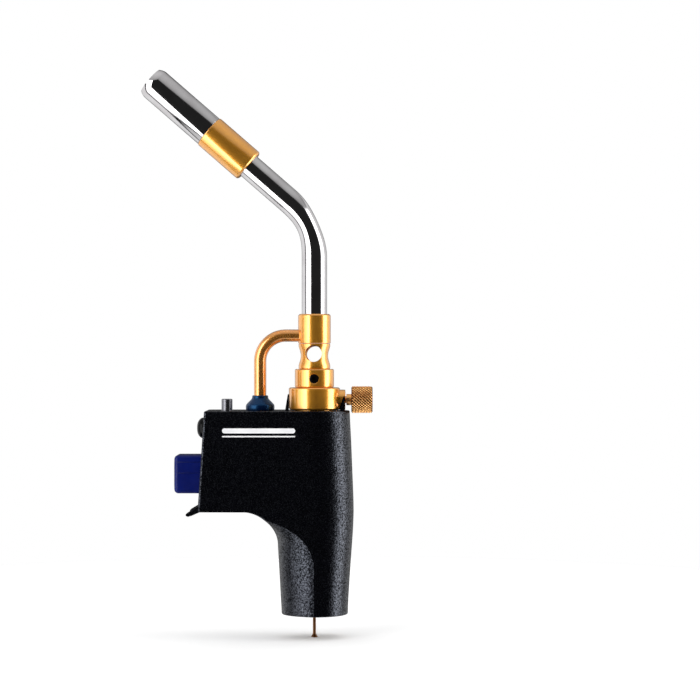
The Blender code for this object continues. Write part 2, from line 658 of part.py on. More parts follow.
def gas_inlet():
    """The threaded brass socket that takes the cylinder's neck, with its washer, filter and valve pin."""
    mouth, top = SOCKET_MOUTH_Z, SOCKET_TOP_Z
    profile = [(13.0, mouth), (14.3, mouth), (14.3, 17.0), (8.5, 17.0), (8.5, 23.6), (3.2, 23.6),
               (3.2, 18.5), (1.8, 18.5), (1.8, top), (SOCKET_R, top), (SOCKET_R, mouth + 0.6)]
    turned("inlet_fitting", profile, BRASS, sides=32)
    ring("inlet_seal", 11.8, 2.4, 13.8, 15.25, BLACK_RUBBER, sides=20)
    profile = [(0, PIN_TIP_Z), (1.6, PIN_TIP_Z), (1.5, PIN_TIP_Z + 0.4), (0.75, PIN_TIP_Z + 1.5), (0.75, 18.9),
               (2.7, 18.9), (2.7, 19.7), (0, 19.7)]
    turned("depressor_pin", profile, BRASS, sides=12)
    rod("inlet_filter", 2.8, 20.1, 22.9, BRONZE, sides=14)


def regulator():
    """The pressure regulator: body, diaphragm and plate, poppet, spring and cap, and its outlet tube."""
    place = (DIAPHRAGM_X, 0, 0)
    profile = [(0, 24.0), (8.9, 24.0), (8.9, 17.4), (14.8, 17.4), (14.8, 25.5), (12.9, 25.5), (12.9, 28.5),
               (14.8, 28.5), (14.8, 38.0), (0, 38.0)]
    body = turned("regulator_body", profile, ALUMINIUM, sides=28)
    cut(body,
        rod("chamber", 8.6, 33.0, 40.0, None, place, sides=20),
        rod("poppet_way", 1.6, 20.0, 35.0, None, place, sides=10),
        rod("outlet_port", 2.35, 30.0, 40.0, None, (OUTLET_X, 0, 0), sides=12),
        rod("cross_port", 1.1, 5.0, 11.0, None, (0, 0, 35.0), (1, 0, 0), 8))
    rod("regulator_diaphragm", 10.4, 38.35, 39.15, BLACK_RUBBER, place, sides=20)
    profile = [(0, 39.5), (5.5, 39.5), (5.5, 40.6), (2.2, 40.6), (2.2, 43.0), (0, 43.0)]
    turned("diaphragm_plate", profile, ALUMINIUM, place, sides=16)
    rod("regulator_poppet", 1.1, 24.6, 38.0, BRASS, place, sides=8)
    spring("regulator_spring", 4.0, 0.6, 15.5, 6, SPRING_STEEL, (DIAPHRAGM_X, 0, 41.0), (0, 0, 1))
    profile = [(0, 57.5), (7.2, 57.5), (7.2, 39.5), (10.8, 39.5), (10.8, 42.5), (8.6, 42.5), (8.6, 59.0),
               (7.6, 60.0), (0, 60.0)]
    turned("regulator_cap", profile, BRASS, place, sides=24)
    r = 6.5
    turn = math.acos(1 - OUTLET_X / (2 * r))
    path = [(OUTLET_X, 0, 31.0)]
    path += arc((OUTLET_X - r, 62.0), r, 0.0, turn, 5)
    path += arc((r, 62.0 + 2 * r * math.sin(turn)), r, math.pi + turn, math.pi, 5)
    path.append((0, 0, 83.4))
    swept("outlet_tube", path, circle(2.0, 12), COPPER, circle(1.4, 12))


# ---------------------------------------------------------------- burner

def burner_base():
    """The socket ring with its grub screw, the gas jet, the venturi body and the mixing collar."""
    z0, z1 = SOCKET_RING_Z
    r = SOCKET_RING_R
    profile = [(5.05, z0), (r - 0.3, z0), (r, z0 + 0.3), (r, z1 - 0.5), (r - 0.5, z1), (6.85, z1), (6.85, 123.6),
               (5.05, 123.6)]
    socket = turned("burner_socket", profile, BRASS, sides=32)
    cut(socket, rod("grub_hole", 2.5, 0, 15, None, (0, 0, GRUB_Z), (0, -1, 0), 14))
    grub = rod("grub_screw", 2.15, 5.6, 9.7, BLACK_STEEL, (0, 0, GRUB_Z), (0, -1, 0), 14, 0.25)
    cut(grub, rod("hex_recess", 1.1, 8.0, 12, None, (0, 0, GRUB_Z), (0, -1, 0), 6))
    profile = [(0.5, 121.3), (3.6, 121.3), (3.6, 124.3), (2.0, 125.0), (1.1, 129.6), (0.5, 129.6)]
    turned("gas_jet", profile, BRASS, sides=12)
    z0, z1 = VENTURI_Z
    profile = [(4.6, 125.3), (6.5, 125.3), (6.5, z0), (8.15, z0), (8.15, z0 + 1.6), (7.5, z0 + 3.4),
               (7.1, z0 + 6.6), (7.35, z0 + 9.4), (8.1, z0 + 12.2), (8.1, z1), (5.2, z1), (5.2, z0 + 2), (4.6, z0)]
    venturi = turned("venturi_body", profile, BRASS, sides=28)
    cut(venturi, rod("air_holes", AIR_HOLE_R, -12, 12, None, (0, 0, AIR_HOLE_Z), (0, 1, 0), 20))
    z0, z1 = MIXER_Z
    r = MIXER_R
    profile = [(5.2, z0), (r, z0), (r, z1 - 0.9), (r - 0.9, z1), (BURN_TUBE_R + GAP, z1),
               (BURN_TUBE_R + GAP, 148.0), (5.2, 148.0)]
    collar = turned("mixing_collar", profile, BRASS, sides=28)
    cut(collar, rod("lead_port", LEAD_TUBE_R + GAP, 4.0, 12.0, None, (0, 0, LEAD_TUBE_TOP_Z), (-1, 0, 0), 16))


def burn_tube():
    """The stainless tube, a little flattened where it bends."""
    steps = 10
    bend = burner_bend(steps)
    path = [(0, 0, BURN_TUBE_START_Z), (0, 0, 166.0)] + bend + [nozzle_axis(FERRULE[0] - 4), nozzle_axis(64.0)]

    def flatten(i):
        t = (i - 2) / steps
        return 1 - BEND_FLATTENING * math.sin(math.pi * t) ** 2 if 0 < t < 1 else 1.0

    swept("burn_tube", path, circle(BURN_TUBE_R, 20, flatten), STEEL, circle(BURN_TUBE_R - 0.8, 20, flatten))


def nozzle():
    """The ferrule, the flame tube with its drawn-in mouth, the flame holder and the spark electrode."""
    corner = (0, 0, BEND_CORNER_Z)
    axis = (-math.sin(BEND_ANGLE), 0, math.cos(BEND_ANGLE))
    start, end = FERRULE
    bore = BURN_TUBE_R + GAP
    r = FERRULE_R
    sleeve_end = end + 7
    profile = [(bore, start), (r - 0.4, start), (r, start + 0.4), (r, end - 0.2), (r - 0.2, end), (7.5, end),
               (7.5, sleeve_end), (5.6, sleeve_end), (5.6, 64.5), (bore, 64.5)]
    turned("nozzle_ferrule", profile, BRASS, corner, axis, 28)
    start, end = FLAME_TUBE
    r = FLAME_TUBE_R
    profile = [(r, start), (r, end - CRIMP), (r - 0.35, end - CRIMP * 0.55), (MOUTH_R, end), (MOUTH_R - 0.65, end),
               (r - 1.05, end - CRIMP * 0.6), (r - 0.75, end - CRIMP), (r - 0.75, start)]
    turned("flame_tube", profile, STEEL, corner, axis, 32)
    hub = 2.3
    holder = ring("flame_holder", 7.4, hub, 84.0, 88.0, BRASS, corner, axis, 24)
    turn = along(axis)
    holes = []
    for i in range(6):
        a = 2 * math.pi * i / 6
        place = Vector(corner) + turn @ Vector((5.0 * math.cos(a), 5.0 * math.sin(a), 86.0))
        lean = turn @ Vector((-0.35 * math.sin(a), 0.35 * math.cos(a), 1.0))
        holes.append(rod(f"swirl_hole_{i}", 1.5, -5, 5, None, place, lean, 10))
    cut(holder, *holes)
    ring("electrode_insulator", 1.9, 0.8, 80.6, 96.0, CERAMIC, corner, axis, 12)
    path = [(0, 0, 79.4), (0, 0, 98.0), (0.3, 0, 100.0), (1.4, 0, 101.6), (3.6, 0, 102.6)]
    path = [tuple(Vector(corner) + turn @ Vector(p)) for p in path]
    swept("spark_electrode", path, circle(0.45, 8), STEEL)


def build():
    clear_scene()
    housing_half("housing_left", -1)
    housing_half("housing_right", 1)
    for i, place in enumerate(SCREW_PLACES):
        housing_screw(i + 1, *place)
    latch_bracket()
    trigger()
    spring_x = -37.0
    spring_length = spring_x - FLANGE_X[1] - GAP
    spring("trigger_spring", 3.2, 0.4, spring_length, 7, SPRING_STEEL, (spring_x, -PIEZO_Y, PIEZO_Z), (-1, 0, 0))
    safety_button()
    spring("button_spring", 2.2, 0.2, 2.1, 2, SPRING_STEEL, (-50.65, 0, BUTTON_Z), (-1, 0, 0))
    run_lock_pin()
    spring("lock_pin_spring", 3.05, 0.2, 5.6, 3, SPRING_STEEL, (LOCK_PIN_X, 0, 95.0), (0, 0, 1))
    igniter()
    ignition_lead()
    lead_tube()
    tube_boot()
    valve_body()
    flame_control()
    shut_off_valve()
    rod("lever_pin", 1.0, -15.2, 15.2, SPRING_STEEL, (LEVER_X, 0, LEVER_PIVOT_Z), (0, 1, 0), 10)
    gas_inlet()
    regulator()
    burner_base()
    burn_tube()
    nozzle()


build()
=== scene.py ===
"""The torch head's looks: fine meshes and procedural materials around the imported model, and the studio.

Lengths are in millimetres, like the CAD's, and the mesh helpers turn them into metres.
"""

import json
import math

import bmesh
import bpy
from mathutils import Matrix, Vector


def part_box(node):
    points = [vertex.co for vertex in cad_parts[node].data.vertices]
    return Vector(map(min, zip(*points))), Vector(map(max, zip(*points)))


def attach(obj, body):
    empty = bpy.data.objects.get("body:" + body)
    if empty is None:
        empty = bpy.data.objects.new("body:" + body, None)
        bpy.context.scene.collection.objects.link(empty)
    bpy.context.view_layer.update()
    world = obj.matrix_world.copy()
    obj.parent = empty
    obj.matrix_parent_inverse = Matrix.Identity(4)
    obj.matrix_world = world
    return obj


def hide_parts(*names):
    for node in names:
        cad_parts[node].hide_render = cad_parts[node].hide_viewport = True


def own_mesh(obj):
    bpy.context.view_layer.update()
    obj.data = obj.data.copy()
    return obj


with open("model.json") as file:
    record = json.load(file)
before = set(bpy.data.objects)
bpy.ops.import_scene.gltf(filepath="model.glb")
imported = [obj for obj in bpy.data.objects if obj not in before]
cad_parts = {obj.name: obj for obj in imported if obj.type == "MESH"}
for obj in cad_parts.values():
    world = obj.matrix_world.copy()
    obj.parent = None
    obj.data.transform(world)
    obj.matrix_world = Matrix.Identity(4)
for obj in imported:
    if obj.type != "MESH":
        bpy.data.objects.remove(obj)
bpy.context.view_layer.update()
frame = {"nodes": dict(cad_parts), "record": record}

MM = 0.001


def span(node, axis):
    """A CAD node's lowest and highest place along an axis, in millimetres."""
    low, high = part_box(node)
    return low["xyz".index(axis)] / MM, high["xyz".index(axis)] / MM


# Housing
TOP_Z = 105.6
SEAM = 0.12
FLOOR_Z = 53.9
WALL = 2.2
FRONT_RIB = ((0.0, 104.6), (1.85, 104.6), (1.85, 105.8), (0.5, 113.9), (0.3, 114.0), (0.0, 114.0))
REAR_RIB = ((0.0, 104.6), (2.6, 104.6), (2.6, 113.0), (1.7, 113.0), (0.0, 107.5))
HALF_WIDTH = 17.8
RIM_HALF_WIDTH = 17.2
WIDEST_Z = 45.0  # the sides spread up to here
FRONT_TOP_X = -56.3
FRONT_SLOPE = 0.064
HANDLE_FRONT_X = -19.0
HANDLE_RIM_X = -17.0
SCOOP_RADIUS = 18.0
ROUND_FRONT_Z = (24.0, 49.5)  # below this stretch the handle's front is a full round, above it has corners
CREASE = math.radians(76.0)  # how far the round front turns before it meets the flat side
CORNER_RADIUS = 1.2
TOP_FILLET = 0.6
LIP_SECTION = ((-57.8, 58.2), (-59.6, 56.8), (-62.5, 54.9), (-64.9, 53.5), (-65.6, 52.9), (-65.7, 52.3),
               (-65.2, 51.8), (-64.4, 51.6), (-62.6, 52.1), (-59.4, 53.5), (-57.0, 54.6))
REAR_RADII = ((0.0, 17.3), (7.0, 17.6), (20.0, 18.4), (33.0, 19.3), (44.0, 20.1), (55.0, 20.5),
              (75.0, 19.7), (90.0, 19.1), (105.0, 18.3))
CORNER_STEPS, SIDE_STEPS, REAR_STEPS = 18, 16, 30
LIP_NOTCH_HALF = 12.0
BUTTON_WINDOW_HALF = (5.3, 5.6)
SCREWS = [f"housing_screw_{i}" for i in (1, 2, 3, 4)]
STRIPE_X = (-47.0, -9.5)
STRIPE_Z = 95.6

# Trigger, pin, button and boot
TRIGGER_X = span("trigger", "x")
TRIGGER_Z = (63.0, 82.7)
TRIGGER_HALF_WIDTH = 9.5
TRIGGER_GROOVES_Z = (73.6, 79.2)
FLANGE_X = (-55.0, -52.8)
BUTTON_X = span("safety_button", "x")
BUTTON_Z = sum(span("safety_button", "z")) / 2
LOCK_PIN_X = sum(span("run_lock_pin", "x")) / 2
LOCK_PIN_Z = span("run_lock_pin", "z")
LEAD_TUBE_X = sum(span("tube_boot", "x")) / 2

# Burner
KNOB_Z = sum(span("flame_knob", "z")) / 2
KNOB_END_X = span("flame_knob", "x")[1]
KNOB_R = span("flame_knob", "y")[1]
KNURL_DEPTH = 0.75
COLLAR_R = span("valve_body", "y")[1]
COLLAR_Z = (106.0, 117.5)
BOSS_R = 5.2
BOSS_END_X = span("valve_body", "x")[1]
SOCKET_R = span("burner_socket", "y")[1]
SOCKET_Z = (COLLAR_Z[1] + 0.06, span("burner_socket", "z")[1])
GRUB_Z = sum(span("grub_screw", "z")) / 2
VENTURI_Z = (SOCKET_Z[1] + 0.1, span("venturi_body", "z")[1] + 0.25)
AIR_HOLE_Z = 134.9
AIR_HOLE_R = 4.3
MIXER_R = span("mixing_collar", "y")[1]
MIXER_Z = span("mixing_collar", "z")
LEAD_TUBE_R = 3.18
LEAD_TUBE_BEND = 13.3
LEAD_TUBE_TOP_Z = 144.5
BURN_TUBE_R = 6.55
BEND_CORNER_Z = 203.0
BEND_RADIUS = 39.5
BEND_ANGLE = math.radians(49.0)
BEND_FLATTENING = 0.13
FERRULE_R = 8.97
FERRULE = (45.1, 72.5)  # along the nozzle's axis from the bend's corner
FLAME_TUBE_R = 8.6
FLAME_TUBE = (72.6, 112.9)
MOUTH_R = 7.3
CRIMP = 3.5
PIN_TIP_Z = span("depressor_pin", "z")[0]

# Springs
# (node, the way it stands from its fixed end, turns, wire radius, the joint that presses it)
SPRINGS = (("trigger_spring", (-1, 0, 0), 7, 0.4, "trigger_slide"),
           ("valve_spring", (-1, 0, 0), 3, 0.2, "valve_stem_slide"),
           ("button_spring", (-1, 0, 0), 2, 0.2, "safety_button_slide"),
           ("lock_pin_spring", (0, 0, 1), 3, 0.2, "run_lock_slide"))

SIDES = 96


# ---------------------------------------------------------------- mesh helpers

def mesh_object(name, points, faces, origin=(0, 0, 0), turn=None, sharp=35):
    mesh = bpy.data.meshes.new(name)
    mesh.from_pydata([Vector(p) * MM for p in points], [], faces)
    shape = bmesh.new()
    shape.from_mesh(mesh)
    bmesh.ops.remove_doubles(shape, verts=shape.verts, dist=1e-7)
    bmesh.ops.recalc_face_normals(shape, faces=shape.faces)
    shape.to_mesh(mesh)
    shape.free()
    smooth(mesh, sharp)
    obj = bpy.data.objects.new(name, mesh)
    bpy.context.scene.collection.objects.link(obj)
    matrix = turn.to_4x4() if turn else Matrix.Identity(4)
    matrix.translation = Vector(origin) * MM
    obj.matrix_world = matrix
    return obj


def smooth(mesh, sharp=35):
    mesh.shade_smooth()
    mesh.set_sharp_from_angle(angle=math.radians(sharp))


def along(direction):
    """The rotation that turns +Z into direction."""
    return Vector(direction).to_track_quat("Z", "Y").to_matrix()


def bridged(rings, loop=False, caps=True):
    """Points and faces of rings of points joined in order; a ring of one point is a pole."""
    points, starts = [], []
    for ring in rings:
        starts.append(len(points))
        points += ring
    faces = []
    pairs = list(zip(range(len(rings)), range(1, len(rings))))
    if loop:
        pairs.append((len(rings) - 1, 0))
    for a, b in pairs:
        count = max(len(rings[a]), len(rings[b]))
        for i in range(count):
            j = (i + 1) % count
            corners = []
            for ring, order in ((a, (i, j)), (b, (j, i))):
                for k in order:
                    corner = starts[ring] + (k if len(rings[ring]) > 1 else 0)
                    if corner not in corners:
                        corners.append(corner)
            faces.append(corners)
    if caps and not loop:
        for ring in (0, len(rings) - 1):
            if len(rings[ring]) > 2:
                faces.append([starts[ring] + i for i in range(len(rings[ring]))])
    return points, faces


def rounded(profile, radius=0.2, steps=3):
    """A profile with its corners rounded, each by radius or by what its neighbours leave room for."""
    found = []
    count = len(profile)
    for i, point in enumerate(profile):
        corner = Vector(point[:2])
        before = Vector(profile[i - 1][:2]) - corner
        after = Vector(profile[(i + 1) % count][:2]) - corner
        size = point[2] if len(point) > 2 else radius
        room = min(before.length, after.length) * 0.45
        on_axis = corner.x < 1e-6
        if on_axis or min(size, room) < 0.01 or before.length < 1e-6 or after.length < 1e-6:
            found.append(tuple(corner))
            continue
        cut = min(size, room)
        start = corner + before.normalized() * cut
        end = corner + after.normalized() * cut
        for k in range(steps + 1):
            t = k / steps
            found.append(tuple(start * (1 - t) ** 2 + corner * 2 * t * (1 - t) + end * t**2))
    return found


def turned(name, profile, origin=(0, 0, 0), axis=(0, 0, 1), sides=SIDES, round_off=0.2):
    """A turned piece from (radius, height) pairs: from axis to axis, or a closed ring."""
    profile = rounded(profile, round_off)
    rings = []
    for radius, height in profile:
        if radius < 1e-6:
            rings.append([(0, 0, height)])
        else:
            angles = [2 * math.pi * i / sides for i in range(sides)]
            rings.append([(radius * math.cos(a), radius * math.sin(a), height) for a in angles])
    solid = profile[0][0] < 1e-6 and profile[-1][0] < 1e-6
    points, faces = bridged(rings, loop=not solid)
    return mesh_object(name, points, faces, origin, along(axis))


def rod(name, radius, start, end, origin=(0, 0, 0), axis=(0, 0, 1), sides=48):
    profile = [(0, start), (radius, start), (radius, end), (0, end)]
    return turned(name, profile, origin, axis, sides, 0.0)


def block(name, low, high, bevel=0.0, segments=4):
    shape = bmesh.new()
    bmesh.ops.create_cube(shape, size=1.0)
    bmesh.ops.scale(shape, vec=[b - a for a, b in zip(low, high)], verts=shape.verts)
    if bevel:
        bmesh.ops.bevel(shape, geom=shape.edges, offset=bevel, segments=segments, affect="EDGES", profile=0.5)
    shape.verts.index_update()
    points = [tuple(v.co) for v in shape.verts]
    faces = [[v.index for v in f.verts] for f in shape.faces]
    shape.free()
    return mesh_object(name, points, faces, [(a + b) / 2 for a, b in zip(low, high)])


def frames_along(path):
    """(point, side, up) at each point of a path, carried along it without twisting."""
    path = [Vector(p) for p in path]
    tangents = []
    for i in range(len(path)):
        tangents.append((path[min(i + 1, len(path) - 1)] - path[max(i - 1, 0)]).normalized())
    side = Vector((0, 1, 0)) if abs(tangents[0].y) < 0.9 else Vector((1, 0, 0))
    found = []
    for point, tangent in zip(path, tangents):
        side = (side - tangent * side.dot(tangent)).normalized()
        found.append((point, side, tangent.cross(side)))
    return found


def swept(name, path, section, hollow=None):
    """A section carried along a path. section(i) gives (side, up) pairs; hollow gives an inner one."""
    frames = frames_along(path)

    def rings_of(shape):
        return [[tuple(p + s * a + u * b) for a, b in shape(i)] for i, (p, s, u) in enumerate(frames)]

    if hollow is None:
        points, faces = bridged(rings_of(section))
    else:
        points, faces = bridged(rings_of(section) + rings_of(hollow)[::-1], loop=True)
    return mesh_object(name, points, faces)


def circle(radius, sides=48, flatten=lambda i: 1.0):
    def section(i):
        angles = [2 * math.pi * k / sides for k in range(sides)]
        return [(radius * math.cos(a), radius * flatten(i) * math.sin(a)) for a in angles]
    return section


def arc(centre, radius, start, end, steps):
    """Points of an arc in the XZ plane, angles from +X towards +Z."""
    angles = [start + (end - start) * i / steps for i in range(steps + 1)]
    return [(centre[0] + radius * math.cos(a), 0.0, centre[1] + radius * math.sin(a)) for a in angles]


def carve(obj, operation, helpers, sharp=35):
    """Joins helpers on to obj, or cuts them out of it, and leaves a plain mesh."""
    group = bpy.data.collections.new(f"{obj.name}_helpers")
    bpy.context.scene.collection.children.link(group)
    for helper in helpers:
        group.objects.link(helper)
    modifier = obj.modifiers.new(operation, "BOOLEAN")
    modifier.operation = operation
    modifier.solver = "EXACT"
    modifier.operand_type = "COLLECTION"
    modifier.collection = group
    bpy.context.view_layer.update()
    evaluated = obj.evaluated_get(bpy.context.evaluated_depsgraph_get())
    mesh = bpy.data.meshes.new_from_object(evaluated)
    obj.modifiers.clear()
    obj.data = mesh
    shape = bmesh.new()
    shape.from_mesh(mesh)
    bmesh.ops.remove_doubles(shape, verts=shape.verts, dist=2e-6)
    bmesh.ops.dissolve_degenerate(shape, edges=shape.edges, dist=1e-6)
    shape.to_mesh(mesh)
    shape.free()
    smooth(mesh, sharp)
    for helper in helpers:
        bpy.data.objects.remove(helper)
    bpy.data.collections.remove(group)
    return obj


# ---------------------------------------------------------------- materials

class Surface:
    """A material's node tree, with the few nodes that this object's finishes share."""

    def __init__(self, name, colour, roughness, metallic=0.0, **sockets):
        self.material = bpy.data.materials.new(name)
        self.material.use_nodes = True
        self.tree = self.material.node_tree
        self.shader = self.tree.nodes["Principled BSDF"]
        self.shader.inputs["Base Color"].default_value = (*colour, 1.0)
        self.shader.inputs["Roughness"].default_value = roughness
        self.shader.inputs["Metallic"].default_value = metallic
        for socket, value in sockets.items():
            self.shader.inputs[socket.replace("_", " ")].default_value = value
        self.colour = colour
        self.roughness = roughness
        self.place = self.tree.nodes.new("ShaderNodeTexCoord").outputs["Object"]
        self.height = None

    def link(self, output, node, socket):
        self.tree.links.new(output, node.inputs[socket])

    def noise(self, size, stretch=(1, 1, 1), detail=2.0):
        """Noise whose grains are about size millimetres, stretched along the object's own axes."""
        mapping = self.tree.nodes.new("ShaderNodeMapping")
        mapping.inputs["Scale"].default_value = [1.0 / (size * MM * s) for s in stretch]
        self.link(self.place, mapping, "Vector")
        node = self.tree.nodes.new("ShaderNodeTexNoise")
        node.inputs["Scale"].default_value = 1.0
        node.inputs["Detail"].default_value = detail
        self.link(mapping.outputs["Vector"], node, "Vector")
        return node.outputs["Fac"]

    def cells(self, size):
        mapping = self.tree.nodes.new("ShaderNodeMapping")
        mapping.inputs["Scale"].default_value = [1.0 / (size * MM)] * 3
        self.link(self.place, mapping, "Vector")
        node = self.tree.nodes.new("ShaderNodeTexVoronoi")
        node.feature = "SMOOTH_F1"
        node.inputs["Scale"].default_value = 1.0
        self.link(mapping.outputs["Vector"], node, "Vector")
        return node.outputs["Distance"]

    def ranged(self, value, low, high, start=0.3, end=0.7):
        node = self.tree.nodes.new("ShaderNodeMapRange")
        node.inputs["From Min"].default_value = start
        node.inputs["From Max"].default_value = end
        node.inputs["To Min"].default_value = low
        node.inputs["To Max"].default_value = high
        self.link(value, node, "Value")
        return node.outputs["Result"]

    def vary_roughness(self, value, spread):
        r = self.roughness
        self.link(self.ranged(value, r - spread, r + spread), self.shader, "Roughness")

    def vary_colour(self, value, other, start=0.35, end=0.65):
        mix = self.tree.nodes.new("ShaderNodeMix")
        mix.data_type = "RGBA"
        mix.inputs["A"].default_value = (*self.colour, 1.0)
        mix.inputs["B"].default_value = (*other, 1.0)
        self.link(self.ranged(value, 0.0, 1.0, start, end), mix, "Factor")
        self.link(mix.outputs["Result"], self.shader, "Base Color")

    def bump(self, value, depth):
        """A bump that is depth millimetres deep, on top of those already given."""
        node = self.tree.nodes.new("ShaderNodeBump")
        node.inputs["Distance"].default_value = depth * MM
        self.link(value, node, "Height")
        if self.height:
            self.link(self.height, node, "Normal")
        self.height = node.outputs["Normal"]
        self.link(self.height, self.shader, "Normal")


def moulded_nylon(name, colour, roughness, grain):
    """Black nylon with a spark-eroded grain."""
    surface = Surface(name, colour, roughness, Specular_Tint=(0.78, 0.84, 1.0, 1.0))
    surface.bump(surface.noise(1.0, detail=1.0), 0.05 * grain)
    surface.bump(surface.cells(0.6), 0.06 * grain)
    surface.vary_roughness(surface.noise(0.6, detail=3.0), 0.05)
    sparkle = surface.ranged(surface.noise(0.75, detail=2.0), 0.06, 1.0, 0.40, 0.66)
    surface.link(sparkle, surface.shader, "Specular IOR Level")
    surface.vary_colour(surface.noise(7.0, detail=4.0), [c * 1.5 for c in colour])
    return surface.material


def smooth_plastic(name, colour, roughness, other, shine=0.5):
    surface = Surface(name, colour, roughness, Specular_IOR_Level=shine)
    surface.bump(surface.noise(0.45, detail=2.0), 0.006)
    surface.vary_roughness(surface.noise(2.5, detail=4.0), 0.06)
    surface.vary_colour(surface.noise(9.0, detail=2.0), other)
    return surface.material


def turned_metal(name, colour, roughness, other, lines=0.004):
    """Metal off a lathe: fine rings about the piece's own Z axis, and a little tarnish."""
    surface = Surface(name, colour, roughness, 1.0)
    surface.bump(surface.noise(0.22, (400, 400, 1), detail=2.0), lines)
    surface.vary_roughness(surface.noise(1.6, (3, 3, 0.5), detail=4.0), 0.045)
    surface.vary_colour(surface.noise(6.0, detail=5.0), other)
    return surface.material


def lacquered_brass(name, colour, roughness, other, metallic=0.80, lines=0.0012):
    """Brass under a clear lacquer, which pales its highlights; lines is the depth of the lathe's marks."""
    surface = Surface(name, colour, roughness, metallic, Coat_Weight=1.0, Coat_Roughness=0.14, Coat_IOR=1.9)
    if lines:
        surface.bump(surface.noise(0.5, (400, 400, 1), detail=1.0), lines)
    surface.vary_roughness(surface.noise(6.0, (1, 1, 3), detail=2.0), 0.03)
    surface.vary_colour(surface.noise(7.0, (0.6, 0.6, 2), detail=3.0), other)
    return surface.material


def knurled_brass(name, crest, groove, outer, depth):
    """Brass whose grooves about the piece's own Z axis are painted dark, as painted shade in the knurl's
    recesses.
    """
    surface = Surface(name, crest, 0.30, 0.85)
    flat = surface.tree.nodes.new("ShaderNodeVectorMath")
    flat.operation = "MULTIPLY"
    flat.inputs[1].default_value = (1, 1, 0)
    surface.link(surface.place, flat, 0)
    radius = surface.tree.nodes.new("ShaderNodeVectorMath")
    radius.operation = "LENGTH"
    surface.link(flat.outputs["Vector"], radius, 0)
    above_groove = surface.tree.nodes.new("ShaderNodeMath")
    above_groove.operation = "SUBTRACT"
    above_groove.inputs[1].default_value = (outer - depth) * MM
    surface.link(radius.outputs["Value"], above_groove, 0)
    distance = surface.tree.nodes.new("ShaderNodeMath")
    distance.operation = "ABSOLUTE"
    surface.link(above_groove.outputs[0], distance, 0)
    # painted shade: the colour turns to the dark groove colour where the knurl sinks below its crests
    surface.vary_colour(distance.outputs[0], groove, depth * 0.70 * MM, depth * 0.25 * MM)
    surface.vary_roughness(surface.noise(0.8, detail=4.0), 0.06)
    surface.bump(surface.noise(0.3, detail=2.0), 0.01)
    return surface.material


def drawn_metal(name, colour, roughness, other, streaks=0.002):
    """Drawn or polished tube: faint streaks, cloudy in places."""
    surface = Surface(name, colour, roughness, 1.0)
    surface.bump(surface.noise(0.5, (1, 1, 1), detail=3.0), streaks)
    surface.vary_roughness(surface.noise(3.0, (1, 1, 2.5), detail=5.0), 0.03)
    surface.vary_colour(surface.noise(8.0, detail=5.0), other)
    return surface.material


def rubber(name, colour, roughness, shine=0.45, tint=(1, 1, 1)):
    surface = Surface(name, colour, roughness, Specular_IOR_Level=shine, Specular_Tint=(*tint, 1.0))
    surface.bump(surface.noise(0.35, detail=3.0), 0.008)
    surface.vary_roughness(surface.noise(1.8, detail=3.0), 0.07)
    surface.vary_colour(surface.noise(5.0, detail=3.0), [c * 1.35 for c in colour])
    return surface.material


BRASS = lacquered_brass("turned_brass", (0.95, 0.42, 0.035), 0.30, (0.91, 0.38, 0.028))
BRASS_BORE = turned_metal("brass_bores", (0.86, 0.44, 0.12), 0.30, (0.66, 0.32, 0.08))
# the second colour is painted shade for the knurl's grooves
KNOB_BRASS = knurled_brass("knurled_brass", (1.0, 0.53, 0.18), (0.09, 0.016, 0.001), KNOB_R, KNURL_DEPTH)
LEAD_BRASS = lacquered_brass("drawn_brass", (0.94, 0.39, 0.06), 0.27, (0.88, 0.34, 0.05), 0.84, 0.0)
# painted shade: this brass is darkened near black to stand in for the shade under the handle, where the pin
# sits
SHADE_DARKENED_PIN_BRASS = drawn_metal("pin_brass", (0.16, 0.07, 0.03), 0.38, (0.11, 0.05, 0.02))
STEEL = drawn_metal("polished_steel", (0.72, 0.71, 0.72), 0.085, (0.62, 0.60, 0.61))
SCREW_STEEL = drawn_metal("zinc_steel", (0.58, 0.58, 0.57), 0.28, (0.45, 0.45, 0.45))
CHROME = drawn_metal("chrome", (0.24, 0.24, 0.26), 0.34, (0.20, 0.20, 0.22))
BLACK_STEEL = drawn_metal("blackened_steel", (0.02, 0.02, 0.022), 0.35, (0.035, 0.033, 0.033))
ALUMINIUM = drawn_metal("cast_aluminium", (0.66, 0.67, 0.68), 0.40, (0.55, 0.56, 0.57), 0.01)
COPPER = drawn_metal("copper", (0.80, 0.37, 0.22), 0.25, (0.62, 0.26, 0.15))
BRONZE = drawn_metal("sintered_bronze", (0.35, 0.20, 0.09), 0.6, (0.22, 0.13, 0.06), 0.05)
NYLON = moulded_nylon("black_nylon", (0.0008, 0.0008, 0.0015), 0.27, 1.0)
BUTTON_NYLON = smooth_plastic("button_nylon", (0.001, 0.001, 0.0015), 0.22, (0.002, 0.002, 0.0025), 0.12)
TRIGGER_BLUE = smooth_plastic("trigger_blue", (0.0010, 0.0055, 0.100), 0.34, (0.0012, 0.0070, 0.115), 0.16)
BOOT_BLUE = rubber("boot_rubber", (0.0005, 0.0055, 0.030), 0.30, 1.0, (0.12, 0.45, 1.0))
BLACK_RUBBER = rubber("black_rubber", (0.015, 0.015, 0.015), 0.7)
RED_SILICONE = rubber("red_silicone", (0.45, 0.03, 0.02), 0.5)
WHITE_PLASTIC = smooth_plastic("white_plastic", (0.70, 0.69, 0.64), 0.45, (0.62, 0.60, 0.55))
CERAMIC = smooth_plastic("ceramic", (0.80, 0.78, 0.72), 0.5, (0.70, 0.66, 0.58))
PRINT = smooth_plastic("white_print", (0.86, 0.86, 0.87), 0.45, (0.80, 0.80, 0.82))

